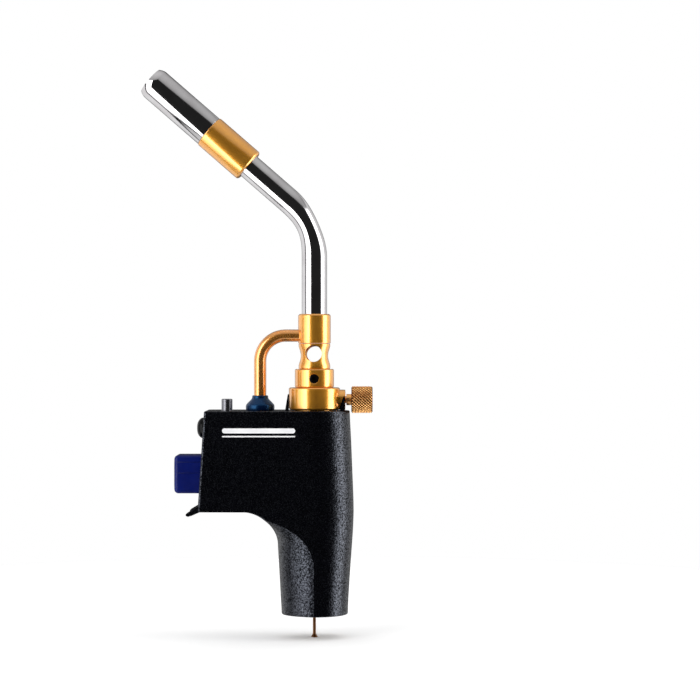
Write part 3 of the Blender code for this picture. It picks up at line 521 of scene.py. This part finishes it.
INNER_FINISHES = {
    "brass_parts": BRASS_BORE, "knob_brass": KNOB_BRASS, "lead_tube_brass": LEAD_BRASS,
    "pin_brass": SHADE_DARKENED_PIN_BRASS,
    "steel_parts": STEEL, "screw_steel": SCREW_STEEL, "pin_chrome": CHROME, "grub_steel": BLACK_STEEL,
    "spring_steel": SCREW_STEEL, "aluminium_parts": ALUMINIUM, "copper_tube": COPPER, "filter_bronze": BRONZE,
    "housing_plastic": NYLON, "button_plastic": BUTTON_NYLON, "trigger_plastic": TRIGGER_BLUE,
    "boot_rubber": BOOT_BLUE, "seal_rubber": BLACK_RUBBER, "lead_silicone": RED_SILICONE,
    "piezo_plastic": WHITE_PLASTIC, "electrode_ceramic": CERAMIC,
}
SLOT_OF = {part["node"]: part["material_slot"] for part in frame["record"]["subparts"]}


def place(obj, finish, body, slot, *nodes):
    """Gives a piece its finish and its body, and hides the CAD nodes that it stands for. The slot argument is
    not used.
    """
    obj.data.materials.clear()
    obj.data.materials.append(finish)
    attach(obj, body)
    if nodes:
        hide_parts(*nodes)
    return obj


def finish_inner_parts():
    """Every CAD node gets its slot's finish; those that a finer piece replaces are hidden later."""
    for name, node in frame["nodes"].items():
        node.data.materials.clear()
        node.data.materials.append(INNER_FINISHES[SLOT_OF[name]])
        smooth(node.data, 40)


# ---------------------------------------------------------------- housing

def rear_radius(z):
    """The back's bulge, as a smooth curve through the stations."""
    total, weight = 0.0, 0.0
    for offset in (-6, -4, -2, 0, 2, 4, 6):
        at = min(max(z + offset, REAR_RADII[0][0]), REAR_RADII[-1][0])
        for (z0, r0), (z1, r1) in zip(REAR_RADII, REAR_RADII[1:]):
            if z0 <= at <= z1:
                total += (r0 + (r1 - r0) * (at - z0) / (z1 - z0)) * (7 - abs(offset))
                weight += 7 - abs(offset)
                break
    return total / weight


def front_x(z, inset):
    """Where the housing's front lies at a height, in the box above the floor or in the handle below."""
    if z >= FLOOR_Z + inset:
        return FRONT_TOP_X - (TOP_Z - z) * FRONT_SLOPE + inset
    centre_z = FLOOR_Z - SCOOP_RADIUS
    if z <= centre_z:
        return HANDLE_RIM_X + (HANDLE_FRONT_X - HANDLE_RIM_X) * z / centre_z + inset
    radius = SCOOP_RADIUS + inset
    return HANDLE_FRONT_X - SCOOP_RADIUS + math.sqrt(max(0.0, radius**2 - (z - centre_z) ** 2))


def outline(z, inset, shrink=0.0):
    """The housing's section at a height: flat sides, a round back, and a front that rounds off below."""
    width = RIM_HALF_WIDTH + (HALF_WIDTH - RIM_HALF_WIDTH) * min(1.0, z / WIDEST_Z) - inset - shrink
    rear = rear_radius(z) - inset - shrink
    front = front_x(z, inset) + shrink
    corner_x = corner_y = corner = max(CORNER_RADIUS - inset, 0.8)
    turn = math.pi / 2
    if z < FLOOR_Z + inset:
        low, high = ROUND_FRONT_Z
        share = max(0.0, min(1.0, (high - z) / (high - low)))
        blend = 1 - (1 - share) ** 2.2
        corner_x += (-front - corner) * blend
        corner_y += (width - corner) * min(1.0, blend * 1.3)
        turn = CREASE
    upper = []
    for i in range(CORNER_STEPS + 1):
        a = turn * i / CORNER_STEPS
        share_x = (1 - math.cos(a)) / (1 - math.cos(turn))
        share_y = math.sin(a) / math.sin(turn)
        upper.append((front + corner_x * share_x, width - corner_y * (1 - share_y)))
    side_start = upper[-1][0]
    for i in range(1, SIDE_STEPS):
        upper.append((side_start * (1 - i / SIDE_STEPS), width))
    for i in range(REAR_STEPS):
        a = math.pi / 2 * i / REAR_STEPS
        upper.append((rear * math.sin(a), width * math.cos(a)))
    upper.append((rear, 0.0))
    return upper + [(x, -y) for x, y in upper[-2::-1]]


def housing_form(name, inset):
    """The whole outer form (inset 0) or the cavity (inset = wall) as one closed solid."""
    if inset:
        heights = [-3.0, 8, 16, 24, 30, 34, 38, 42, 46, 49, 51.5, 53.5, 55.0]
        heights += [FLOOR_Z + inset, 80, TOP_Z - inset]
        rings = [[(x, y, z) for x, y in outline(max(z, 0.0), inset)] for z in heights]
    else:
        centre_z = FLOOR_Z - SCOOP_RADIUS
        heights = [0.0, 0.3, 3, 6, 9, 12, 15, 18, 21, 24, 26, 28, 30, 32, 34]
        heights += [centre_z + SCOOP_RADIUS * math.sin(math.radians(a)) for a in range(2, 90, 4)]
        heights += [FLOOR_Z, 60, 65, 70, 75, 80, 85, 90, 95, 100, TOP_Z - TOP_FILLET]
        rings = []
        for z in heights:
            rings.append([(x, y, z) for x, y in outline(z, 0.0, max(0.0, 0.3 - z))])
        for a in range(9, 91, 9):
            shrink = TOP_FILLET * (1 - math.cos(math.radians(a)))
            z = TOP_Z - TOP_FILLET + TOP_FILLET * math.sin(math.radians(a))
            rings.append([(x, y, z) for x, y in outline(z, 0.0, shrink)])
    points, faces = bridged(rings)
    return mesh_object(name, points, faces)


def extruded(name, section, y0, y1):
    """A solid whose section is (x, z) points, between two places along Y."""
    points, faces = bridged([[(x, y, z) for x, z in section] for y in (y0, y1)])
    return mesh_object(name, points, faces)


def collar_rib(name, direction, section, y0, y1):
    """A thin rib that stands on the housing's top, in front of the collar or behind it."""
    start = COLLAR_R + 0.05
    return extruded(name, [(direction * (start + out), z) for out, z in section], y0, y1)


def screw_centre(node):
    low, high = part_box(node)
    centre = (low + high) / 2 / MM
    return centre.x, centre.z, high.y / MM


def housing_half(name, side):
    half = housing_form(name, 0.0)
    carve(half, "DIFFERENCE", [housing_form(f"cavity_{name}", WALL)])
    bosses, holes = [], []
    for node in SCREWS:
        x, z, head_y = screw_centre(node)
        if side > 0:
            profile = [(0, 0), (2.6, 0), (2.6, head_y - 4.2), (4.6, head_y - 4.2), (4.6, head_y - 0.6),
                       (0, head_y - 0.6)]
            hole = [(0, -1), (1.7, -1), (1.7, head_y - 2.4), (3.5, head_y - 2.4), (3.5, 30), (0, 30)]
        else:
            profile = [(0, 0), (2.6, 0), (2.6, head_y - 0.6), (0, head_y - 0.6)]
            hole = [(0, -1), (1.7, -1), (1.7, 8), (0, 8)]
        bosses.append(turned(f"boss_{node}", profile, (x, 0, z), (0, side, 0), 32, 0))
        holes.append(turned(f"hole_{node}", hole, (x, 0, z), (0, side, 0), 40, 0))
    bosses.append(collar_rib("front_rib", -1, FRONT_RIB, -1.5, 1.5))
    near, far = sorted((side * (BOSS_R + 0.25), side * (BOSS_R + 1.75)))
    bosses.append(collar_rib("rear_rib", 1, REAR_RIB, near, far))
    bosses.append(extruded("lip", LIP_SECTION, -HALF_WIDTH + 0.6, HALF_WIDTH - 0.6))
    carve(half, "UNION", bosses)
    low_y, high_y = (-SEAM / 2, 60.0) if side < 0 else (-60.0, SEAM / 2)
    z0, z1 = TRIGGER_Z
    half_y, half_z = BUTTON_WINDOW_HALF
    holes += [
        block("trim", (-90, low_y, -20), (40, high_y, 130)),
        block("lip_notch", (-70, -LIP_NOTCH_HALF, 50.0), (-60.6, LIP_NOTCH_HALF, 58.0), 0.4, 2),
        block("trigger_window", (-70, -10.0, z0 - 0.5), (FLANGE_X[0], 10.0, z1 + 0.5), 0.8, 3),
        block("button_window", (-65, -half_y, BUTTON_Z - half_z), (-53.0, half_y, BUTTON_Z + half_z), 2.0, 5),
        rod("collar_way", 10.6, 95.0, 115.0, sides=80),
        rod("boot_way", 5.3, 95.0, 115.0, (LEAD_TUBE_X, 0, 0), sides=64),
        rod("pin_way", 3.05, 95.0, 115.0, (LOCK_PIN_X, 0, 0), sides=48),
    ]
    return carve(half, "DIFFERENCE", holes, 11)


def stripe(name, height, z, thickness=0.06):
    """A printed bar with round ends on the housing's near side."""
    y = -HALF_WIDTH
    r = height / 2
    x0, x1 = STRIPE_X[0] + r, STRIPE_X[1] - r
    edge = []
    for centre, start in ((x1, -90), (x0, 90)):
        for i in range(13):
            a = math.radians(start + 15 * i)
            edge.append((centre + r * math.cos(a), z + r * math.sin(a)))
    near = [(x, y - thickness, z) for x, z in edge]
    far = [(x, y + 0.3, z) for x, z in edge]
    points, faces = bridged([near, far])
    return mesh_object(name, points, faces)


def build_housing():
    left = housing_half("left_shell", -1)
    place(left, NYLON, "root", "housing_plastic", "housing_left")
    right = housing_half("right_shell", 1)
    place(right, NYLON, "root", "housing_plastic", "housing_right")
    place(stripe("side_stripe", 2.6, STRIPE_Z), PRINT, "root", "housing_plastic")
    place(stripe("side_line", 0.7, STRIPE_Z - 2.9), PRINT, "root", "housing_plastic")
    for node in SCREWS:
        x, z, head_y = screw_centre(node)
        profile = [(0, -6.0), (0.5, -6.0), (1.3, -4.6), (1.3, head_y - 2.0), (3.0, head_y - 2.0),
                   (3.1, head_y - 1.1), (2.6, head_y - 0.3), (1.4, head_y), (0, head_y)]
        screw = turned(f"{node}_fine", profile, (x, 0, z), (0, 1, 0), 48, 0.3)
        low_y, high_y = head_y - 1.3, head_y + 1
        slots = [block("slot_a", (x - 1.7, low_y, z - 0.3), (x + 1.7, high_y, z + 0.3)),
                 block("slot_b", (x - 0.3, low_y, z - 1.7), (x + 0.3, high_y, z + 1.7))]
        carve(screw, "DIFFERENCE", slots)
        place(screw, SCREW_STEEL, "root", "screw_steel", node)


# ---------------------------------------------------------------- controls

def rounded_box_ring(x, half_y, z0, z1, radius, steps=6):
    """A ring of points around a rounded rectangle that faces along X."""
    found = []
    corners = ((half_y, z1, 0), (-half_y, z1, 90), (-half_y, z0, 180), (half_y, z0, 270))
    for y, z, start in corners:
        cy = y - math.copysign(radius, y)
        cz = z - radius if z == z1 else z + radius
        for i in range(steps + 1):
            a = math.radians(start + 90 * i / steps)
            found.append((x, cy + radius * math.cos(a), cz + radius * math.sin(a)))
    return found


def build_trigger():
    """The blue trigger: a softly crowned cap, its flange, and the arm and tooth inside."""
    tip = TRIGGER_X[0]
    z0, z1 = TRIGGER_Z
    half = TRIGGER_HALF_WIDTH
    front, back = FLANGE_X
    rings = [rounded_box_ring(x, half, z0, z1, 1.6) for x in (back + 0.1, -60.0, -66.0, tip + 2.6)]
    edge = 2.1
    for a in (12, 24, 36, 48, 60, 72, 84):
        inward = edge * (1 - math.cos(math.radians(a)))
        x = tip + 0.45 + edge * (1 - math.sin(math.radians(a)))
        radius = max(0.5, 1.6 - inward * 0.5)
        rings.append(rounded_box_ring(x, half - inward, z0 + inward, z1 - inward, radius))
    middle = (z0 + z1) / 2
    for share, bow in ((0.75, 0.22), (0.5, 0.36), (0.25, 0.43), (0.08, 0.45)):
        reach_y = (half - edge) * share
        reach_z = ((z1 - z0) / 2 - edge) * share
        x = tip + 0.45 - bow
        rings.append(rounded_box_ring(x, reach_y, middle - reach_z, middle + reach_z, 0.5 * share))
    points, faces = bridged(rings)
    cap = mesh_object("trigger_cap", points, faces)
    arm_end = TRIGGER_X[1]
    carve(cap, "UNION", [
        block("flange", (front, -11.5, z0 - 1.5), (back, 11.5, z1 + 1.5), 0.3, 2),
        block("arm", (back - 1.0, -2.4, 70.5), (arm_end, 2.4, 76.0), 0.3, 2),
        block("shelf", (back - 1.0, -3.0, 80.0), (-48.4, 3.0, z1 + 1.5), 0.3, 2),
        block("tooth", (-50.6, -2.0, z1), (-48.4, 2.0, 89.5), 0.3, 2)])
    grooves = []
    for z in TRIGGER_GROOVES_Z:
        for y0, y1 in ((-12, -half + 0.35), (half - 0.35, 12)):
            grooves.append(block("groove", (tip - 2, y0, z - 0.22), (-57.5, y1, z + 0.22)))
    carve(cap, "DIFFERENCE", grooves)
    place(cap, TRIGGER_BLUE, "trigger", "trigger_plastic", "trigger")


def build_button():
    """The domed oval button above the trigger, with its flange behind the wall."""
    tip = BUTTON_X[0]
    stations = [(-53.1, 6.2, 6.2), (-53.8, 6.2, 6.2), (-53.9, 5.4, 5.0), (-57.6, 5.4, 5.0)]
    for a in (10, 20, 30, 40, 50, 60, 70, 80):
        c, s = math.cos(math.radians(a)), math.sin(math.radians(a))
        stations.append((-57.6 - (-57.6 - tip) * s, 1.3 + 4.1 * c**1.1, 1.2 + 3.8 * c**1.1))
    rings = []
    for x, height, width in stations:
        angles = [2 * math.pi * i / 64 for i in range(64)]
        rings.append([(x, width * math.cos(a), height * math.sin(a)) for a in angles])
    points, faces = bridged(rings)
    button = mesh_object("safety_button_fine", points, faces, (0, 0, BUTTON_Z), None, 40)
    place(button, BUTTON_NYLON, "safety_button", "button_plastic", "safety_button")


def build_lock_pin():
    low, high = LOCK_PIN_Z
    r = 2.5
    head = 2.85
    profile = [(0, low), (r - 0.3, low), (r, low + 0.5), (r, 100.9), (3.5, 100.9), (3.5, 102.4),
               (head, 102.4), (head, high - 0.3), (head - 0.35, high), (0, high)]
    pin = turned("lock_pin_fine", profile, (LOCK_PIN_X, 0, 0), round_off=0.15)
    place(pin, CHROME, "run_lock_pin", "pin_chrome", "run_lock_pin")


def build_boot():
    bore = LEAD_TUBE_R + 0.1
    under = TOP_Z - WALL - 0.35
    profile = [(bore, 100.9), (6.5, 100.9), (6.5, under), (5.0, under), (5.0, TOP_Z + 0.05),
               (7.25, TOP_Z + 0.05), (7.45, TOP_Z + 0.9, 0.5), (7.45, 108.5, 1.2), (4.4, 111.6, 1.0),
               (4.15, 112.4, 0.3), (4.15, 113.3, 0.4), (bore, 113.5)]
    boot = turned("boot_fine", profile, (LEAD_TUBE_X, 0, 0), round_off=0.35)
    place(boot, BOOT_BLUE, "root", "boot_rubber", "tube_boot")


# ---------------------------------------------------------------- valve and knob

def build_valve_body():
    z0, z1 = COLLAR_Z
    r = COLLAR_R
    under = TOP_Z - WALL - 0.35
    profile = [(2.4, 80.0), (9.5, 80.0), (9.5, 97.5), (12.3, 98.5), (12.3, under), (10.4, under),
               (10.4, z0), (r - 0.8, z0), (r, z0 + 0.7), (r, z1 - 0.6, 0.15), (r - 0.6, z1, 0.15), (4.7, z1),
               (4.7, 120.9), (1.5, 120.9), (1.5, 84.0), (2.4, 84.0)]
    body = turned("valve_body_fine", profile, round_off=0.12)
    boss = [(0, 3.0), (BOSS_R, 3.0), (BOSS_R, BOSS_END_X, 0.5), (0, BOSS_END_X)]
    carve(body, "UNION", [
        turned("boss", boss, (0, 0, KNOB_Z), (1, 0, 0), 72),
        rod("port", 4.5, 3.0, 15.5, (0, 0, 89.0), (-1, 0, 0))])
    carve(body, "DIFFERENCE", [
        rod("needle_bore", 2.2, 5.5, 20.0, (0, 0, KNOB_Z), (1, 0, 0)),
        rod("needle_seat", 1.3, 0.0, 7.0, (0, 0, KNOB_Z), (1, 0, 0)),
        rod("gland_bore", 3.6, 12.0, 20.0, (0, 0, KNOB_Z), (1, 0, 0)),
        rod("stem_bore", 3.05, 4.0, 20.0, (0, 0, 89.0), (-1, 0, 0))], 32)
    place(body, BRASS, "root", "brass_parts", "valve_body")


def build_needle():
    profile = [(0, 3.4), (0.3, 3.4), (1.8, 8.5), (1.8, 27.6), (0, 27.6)]
    needle = turned("needle_fine", profile, (0, 0, KNOB_Z), (1, 0, 0), 48, 0.1)
    place(needle, BRASS, "flame_needle", "brass_parts", "flame_needle")
    profile = [(3.3, 14.3), (3.3, 15.9), (2.1, 15.9), (2.1, 14.3)]
    nut = turned("gland_nut_fine", profile, (0, 0, KNOB_Z), (1, 0, 0), 48)
    place(nut, BRASS, "root", "brass_parts", "gland_nut")


def knurl_height(around, along_axis):
    """A diamond knurl's height, 0 in its grooves and 1 on its points, one way cut deeper than the other."""
    deep = 1 - abs(2 * ((around - along_axis) % 1.0) - 1)
    light = 1 - abs(2 * ((around + along_axis) % 1.0) - 1)
    return min(deep, 0.3 + 0.7 * light)


def build_knob():
    """The flame knob, with its knurl as real relief."""
    r = KNOB_R
    x0, x1 = KNOB_END_X - 11.0, KNOB_END_X
    teeth, steps = 28, 6
    count = teeth * steps
    pitch = 2 * math.pi * r / teeth
    rows = int((x1 - x0) / pitch * steps)
    chamfer = 0.8

    def plain(radius, height):
        return [(radius * math.cos(a), radius * math.sin(a), height)
                for a in (2 * math.pi * i / count for i in range(count))]

    rings = [[(0, 0, x0 + 9.0)]]
    rings += [plain(2.1, x0 + 9.0), plain(2.1, x0 - 2.6), plain(2.9, x0 - 2.6)]
    rings += [plain(2.9, x0), plain(r - 1.4, x0)]
    for k in range(rows + 1):
        height = x0 + (x1 - x0) * k / rows
        inward = max(0.0, chamfer - min(height - x0, x1 - height))
        ring = []
        for i in range(count):
            radius = min(r - KNURL_DEPTH * (1 - knurl_height(i / steps, k / steps)), r - inward)
            a = 2 * math.pi * i / count
            ring.append((radius * math.cos(a), radius * math.sin(a), height))
        rings.append(ring)
    rings += [plain(r - 1.6, x1), plain(r - 2.4, x1 - 0.25), plain(2.0, x1 - 0.25), [(0, 0, x1 - 0.25)]]
    points, faces = bridged(rings)
    knob = mesh_object("knurled_knob", points, faces, (0, 0, KNOB_Z), along((1, 0, 0)), 20)
    place(knob, KNOB_BRASS, "flame_knob", "knob_brass", "flame_knob")


# ---------------------------------------------------------------- burner

def build_socket():
    z0, z1 = SOCKET_Z
    r = SOCKET_R
    profile = [(5.05, z0), (r - 0.5, z0), (r, z0 + 0.5), (r, z1 - 0.45, 0.15), (r - 0.45, z1, 0.15),
               (6.85, z1), (6.85, 123.6), (5.05, 123.6)]
    socket = turned("socket_fine", profile, round_off=0.12)
    hole = turned("hole", [(0, 0), (2.5, 0), (2.5, r - 0.35), (3.1, r + 0.25), (3.1, 15), (0, 15)],
                  (0, 0, GRUB_Z), (0, -1, 0), 56, 0)
    carve(socket, "DIFFERENCE", [hole], 32)
    place(socket, BRASS, "root", "brass_parts", "burner_socket")
    end = -span("grub_screw", "y")[0]
    grub = turned("grub_fine", [(0, 5.6), (2.3, 5.6), (2.3, end - 0.25), (2.0, end), (0, end)],
                  (0, 0, GRUB_Z), (0, -1, 0), 48, 0.1)
    carve(grub, "DIFFERENCE", [rod("hex", 1.15, end - 1.7, 12, (0, 0, GRUB_Z), (0, -1, 0), 6)])
    place(grub, BLACK_STEEL, "root", "grub_steel", "grub_screw")


def build_venturi():
    """The waisted air body, with one hole right through it."""
    z0, z1 = VENTURI_Z
    profile = [(4.6, 125.3), (6.5, 125.3), (6.5, z0), (8.0, z0), (8.2, z0 + 0.25), (8.2, z0 + 1.7, 0.3)]
    for i in range(1, 12):
        t = i / 12
        profile.append((8.2 - 1.15 * math.sin(math.pi * t) ** 1.3, z0 + 1.7 + (z1 - z0 - 3.0) * t, 0))
    profile += [(8.2, z1 - 1.3, 0.3), (8.2, z1 - 0.25), (8.0, z1), (5.2, z1), (5.2, z0 + 2), (4.6, z0)]
    body = turned("venturi_fine", profile, round_off=0.12)
    hole = rod("air_hole", AIR_HOLE_R, -12, 12, (0, 0, AIR_HOLE_Z), (0.06, 1, -0.04), 72)
    carve(body, "DIFFERENCE", [hole], 32)
    place(body, BRASS, "root", "brass_parts", "venturi_body")


def build_mixer():
    z0, z1 = MIXER_Z
    r = MIXER_R
    bore = BURN_TUBE_R + 0.08
    profile = [(5.2, z0), (r - 0.2, z0), (r, z0 + 0.2), (r, z1 - 0.8, 0.2), (r - 0.8, z1, 0.2), (bore, z1),
               (bore, 148.0), (5.2, 148.0)]
    collar = turned("mixer_fine", profile, round_off=0.12)
    carve(collar, "DIFFERENCE", [
        rod("port", LEAD_TUBE_R + 0.1, 4.0, 12.0, (0, 0, LEAD_TUBE_TOP_Z), (-1, 0, 0))], 32)
    place(collar, BRASS, "root", "brass_parts", "mixing_collar")


def build_lead_tube():
    r = LEAD_TUBE_BEND
    path = [(LEAD_TUBE_X, 0, 99.0), (LEAD_TUBE_X, 0, 115.0)]
    path += arc((LEAD_TUBE_X + r, LEAD_TUBE_TOP_Z - r), r, math.pi, math.pi / 2, 28)
    path.append((-6.9, 0, LEAD_TUBE_TOP_Z))
    tube = swept("lead_tube_fine", path, circle(LEAD_TUBE_R), circle(LEAD_TUBE_R - 0.7))
    place(tube, LEAD_BRASS, "root", "lead_tube_brass", "lead_tube")


def nozzle_axis(distance):
    """A point on the nozzle's axis, so far from the bend's corner."""
    return (-math.sin(BEND_ANGLE) * distance, 0.0, BEND_CORNER_Z + math.cos(BEND_ANGLE) * distance)


def build_burn_tube():
    steps = 40
    tangent = BEND_RADIUS * math.tan(BEND_ANGLE / 2)
    bend = arc((-BEND_RADIUS, BEND_CORNER_Z - tangent), BEND_RADIUS, 0.0, BEND_ANGLE, steps)
    path = [(0, 0, 148.35), (0, 0, 166.0)] + bend + [nozzle_axis(FERRULE[0] - 4), nozzle_axis(64.0)]

    def flatten(i):
        t = (i - 2) / steps
        return 1 - BEND_FLATTENING * math.sin(math.pi * t) ** 2 if 0 < t < 1 else 1.0

    outside, inside = circle(BURN_TUBE_R, 80, flatten), circle(BURN_TUBE_R - 0.8, 80, flatten)
    tube = swept("burn_tube_fine", path, outside, inside)
    place(tube, STEEL, "root", "steel_parts", "burn_tube")


def build_nozzle():
    corner = (0, 0, BEND_CORNER_Z)
    axis = (-math.sin(BEND_ANGLE), 0, math.cos(BEND_ANGLE))
    start, end = FERRULE
    bore = BURN_TUBE_R + 0.08
    r = FERRULE_R
    profile = [(bore, start), (r - 0.75, start), (r, start + 0.75, 0.3), (r, end - 0.3), (r - 0.3, end),
               (7.5, end), (7.5, end + 7), (5.6, end + 7), (5.6, 64.5), (bore, 64.5)]
    ferrule = turned("ferrule_fine", profile, corner, axis, round_off=0.15)
    place(ferrule, BRASS, "root", "brass_parts", "nozzle_ferrule")
    start, end = FLAME_TUBE
    r = FLAME_TUBE_R
    wall = 0.75
    profile = [(r, start), (r, end - CRIMP)]
    for i in range(1, 7):
        t = i / 6
        profile.append((r - (r - MOUTH_R) * t**1.8, end - CRIMP * (1 - t), 0))
    for i in range(6, -1, -1):
        t = i / 6
        inner = r - wall - (r - MOUTH_R) * t**1.8 + 0.05 * t
        profile.append((inner, end - CRIMP * (1 - t) - 0.05 * (i == 6), 0))
    profile.append((r - wall, start))
    tube = turned("flame_tube_fine", profile, corner, axis, round_off=0.08)
    place(tube, STEEL, "root", "steel_parts", "flame_tube")


def build_springs():
    """The coils, each in its CAD node's box."""
    for node, axis, turns, wire, joint in SPRINGS:
        low, high = (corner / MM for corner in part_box(node))
        size = high - low
        length = abs(size.dot(Vector(axis)))
        radius = min(size[i] for i in range(3) if not axis[i]) / 2 - wire
        fixed_end = (low + high) / 2 - Vector(axis) * length / 2
        turn = along(axis)
        steps = 24 * turns
        path = []
        for i in range(steps + 1):
            t = i / steps
            height = wire + (length - 2 * wire) * (t - 0.35 * math.sin(2 * math.pi * t) / (2 * math.pi))
            a = 2 * math.pi * turns * t
            path.append(fixed_end + turn @ Vector((radius * math.cos(a), radius * math.sin(a), height)))
        coil = place(swept(f"{node}_fine", path, circle(wire, 10)), SCREW_STEEL, "root", "spring_steel", node)
        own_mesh(coil)


def build_depressor_pin():
    tip = PIN_TIP_Z
    profile = [(0, tip), (1.45, tip), (1.75, tip + 0.3), (0.8, tip + 1.7, 0.5), (0.75, 18.9), (2.7, 18.9),
               (2.7, 19.7), (0, 19.7)]
    pin = turned("depressor_pin_fine", profile, sides=40, round_off=0.12)
    # the pin's near-black brass is painted shade from the handle above it
    place(pin, SHADE_DARKENED_PIN_BRASS, "root", "pin_brass", "depressor_pin")


# ---------------------------------------------------------------- studio

# (degrees to the right of the front, radiance before BAND_GAIN)
ROOM_BAND = ((-180, 0.03), (-162, 0.03), (-150, 0.20), (-120, 0.24), (-93, 0.24), (-91.5, 0.01),
             (-82.5, 0.01), (-81, 0.38), (-62, 0.50), (-42, 1.10), (-34, 1.00), (-31, 0.0045),
             (64, 0.0045), (67, 0.70), (80, 1.10), (95, 1.10), (98, 0.80), (102, 0.24), (150, 0.16),
             (162, 0.03), (180, 0.03))
BAND_GAIN = 4.2
# (height of the direction, share of the band that shows, radiance of the ceiling or the floor's bounce)
ROOM_CAPS = ((-1.0, 0.0, 0.75), (-0.737, 0.0, 0.75), (-0.730, 0.0, 0.01), (-0.703, 0.0, 0.01),
             (-0.696, 1.0, 0.0), (0.56, 1.0, 0.0), (0.60, 0.0, 0.34), (0.72, 0.0, 0.52), (1.0, 0.0, 0.75))
DIFFUSE_EXTRA = 0.95  # matt surfaces get this share more of the room's light than mirrors show
CAMERA_PLACE = (0.0185, -1.1, 0.137)  # metres
LENS = 108.8
FLOOR_RADIUS = 420.0
FLOOR_GAP = 0.05
FLOOR_SIDES = 96


def ramp_node(tree, value, stops):
    """A colour ramp over value, from (position, colour) stops."""
    node = tree.nodes.new("ShaderNodeValToRGB")
    elements = node.color_ramp.elements
    elements[0].position, elements[1].position = stops[0][0], stops[-1][0]
    elements[0].color, elements[1].color = (*stops[0][1], 1.0), (*stops[-1][1], 1.0)
    for position, colour in stops[1:-1]:
        elements.new(position).color = (*colour, 1.0)
    tree.links.new(value, node.inputs["Fac"])
    return node.outputs["Color"]


def build_world():
    """White to the camera. Surfaces mirror and are lit by a band of tall softboxes with dark gaps."""
    world = bpy.data.worlds.new("studio")
    bpy.context.scene.world = world
    world.use_nodes = True
    tree = world.node_tree
    tree.nodes.clear()
    add = tree.nodes.new
    link = tree.links.new

    def math_node(operation, *values):
        node = add("ShaderNodeMath")
        node.operation = operation
        for i, value in enumerate(values):
            if isinstance(value, (int, float)):
                node.inputs[i].default_value = value
            else:
                link(value, node.inputs[i])
        return node.outputs[0]

    direction = add("ShaderNodeTexCoord").outputs["Generated"]
    split = add("ShaderNodeSeparateXYZ")
    link(direction, split.inputs[0])
    # degrees to the right of -Y, as a share of the circle with the back (+Y) at 0 and 1
    turn = math_node("ARCTAN2", split.outputs["X"], math_node("MULTIPLY", split.outputs["Y"], -1))
    share = math_node("ADD", math_node("DIVIDE", turn, 2 * math.pi), 0.5)
    band = ramp_node(tree, share, [(degrees / 360 + 0.5, (radiance,) * 3) for degrees, radiance in ROOM_BAND])
    # red: how much of the band shows at this height; green: the radiance of what is above or below it
    rise = math_node("ADD", math_node("MULTIPLY", split.outputs["Z"], 0.5), 0.5)
    caps = ramp_node(tree, rise, [(z / 2 + 0.5, (shown, other, 0.0)) for z, shown, other in ROOM_CAPS])
    parts = add("ShaderNodeSeparateColor")
    link(caps, parts.inputs[0])
    shown = math_node("MULTIPLY", math_node("MULTIPLY", band, BAND_GAIN), parts.outputs["Red"])
    mirrored = math_node("ADD", shown, parts.outputs["Green"])
    diffuse = add("ShaderNodeLightPath").outputs["Is Diffuse Ray"]
    lit = math_node("ADD", math_node("MULTIPLY", diffuse, DIFFUSE_EXTRA), 1.0)
    room = add("ShaderNodeBackground")
    link(math_node("MULTIPLY", mirrored, lit), room.inputs["Strength"])
    seen = add("ShaderNodeBackground")
    seen.inputs["Strength"].default_value = 1.0
    for background in (room, seen):
        background.inputs["Color"].default_value = (1, 1, 1, 1)
    choose = add("ShaderNodeMixShader")
    link(add("ShaderNodeLightPath").outputs["Is Camera Ray"], choose.inputs["Fac"])
    link(room.outputs[0], choose.inputs[1])
    link(seen.outputs[0], choose.inputs[2])
    link(choose.outputs[0], add("ShaderNodeOutputWorld").inputs["Surface"])


def build_floor():
    """A pale round floor just under the valve pin."""
    z = PIN_TIP_Z - FLOOR_GAP
    angles = [2 * math.pi * i / FLOOR_SIDES for i in range(FLOOR_SIDES)]
    rings = [[(0, 0, z)]]
    for r in (FLOOR_RADIUS * 0.5, FLOOR_RADIUS):
        rings.append([(r * math.cos(a), r * math.sin(a), z) for a in angles])
    points, faces = bridged(rings, caps=False)
    floor = mesh_object("floor", points, faces)
    surface = Surface("pale_floor", (0.95, 0.95, 0.95), 0.9, Specular_IOR_Level=0.0)
    floor.data.materials.append(surface.material)
    floor.visible_glossy = False


def build_camera():
    camera = bpy.data.objects.new("camera", bpy.data.cameras.new("camera"))
    bpy.context.scene.collection.objects.link(camera)
    camera.location = CAMERA_PLACE
    camera.rotation_euler = (math.pi / 2, 0, 0)
    camera.data.lens = LENS
    camera.data.sensor_width = 36.0
    camera.data.clip_start = 0.01
    bpy.context.scene.camera = camera
    bpy.context.scene.view_settings.view_transform = "Standard"


build_camera()
build_world()
build_floor()
finish_inner_parts()
build_housing()
build_trigger()
build_button()
build_lock_pin()
build_boot()
build_valve_body()
build_needle()
build_knob()
build_socket()
build_venturi()
build_mixer()
build_lead_tube()
build_burn_tube()
build_nozzle()
build_depressor_pin()
build_springs()
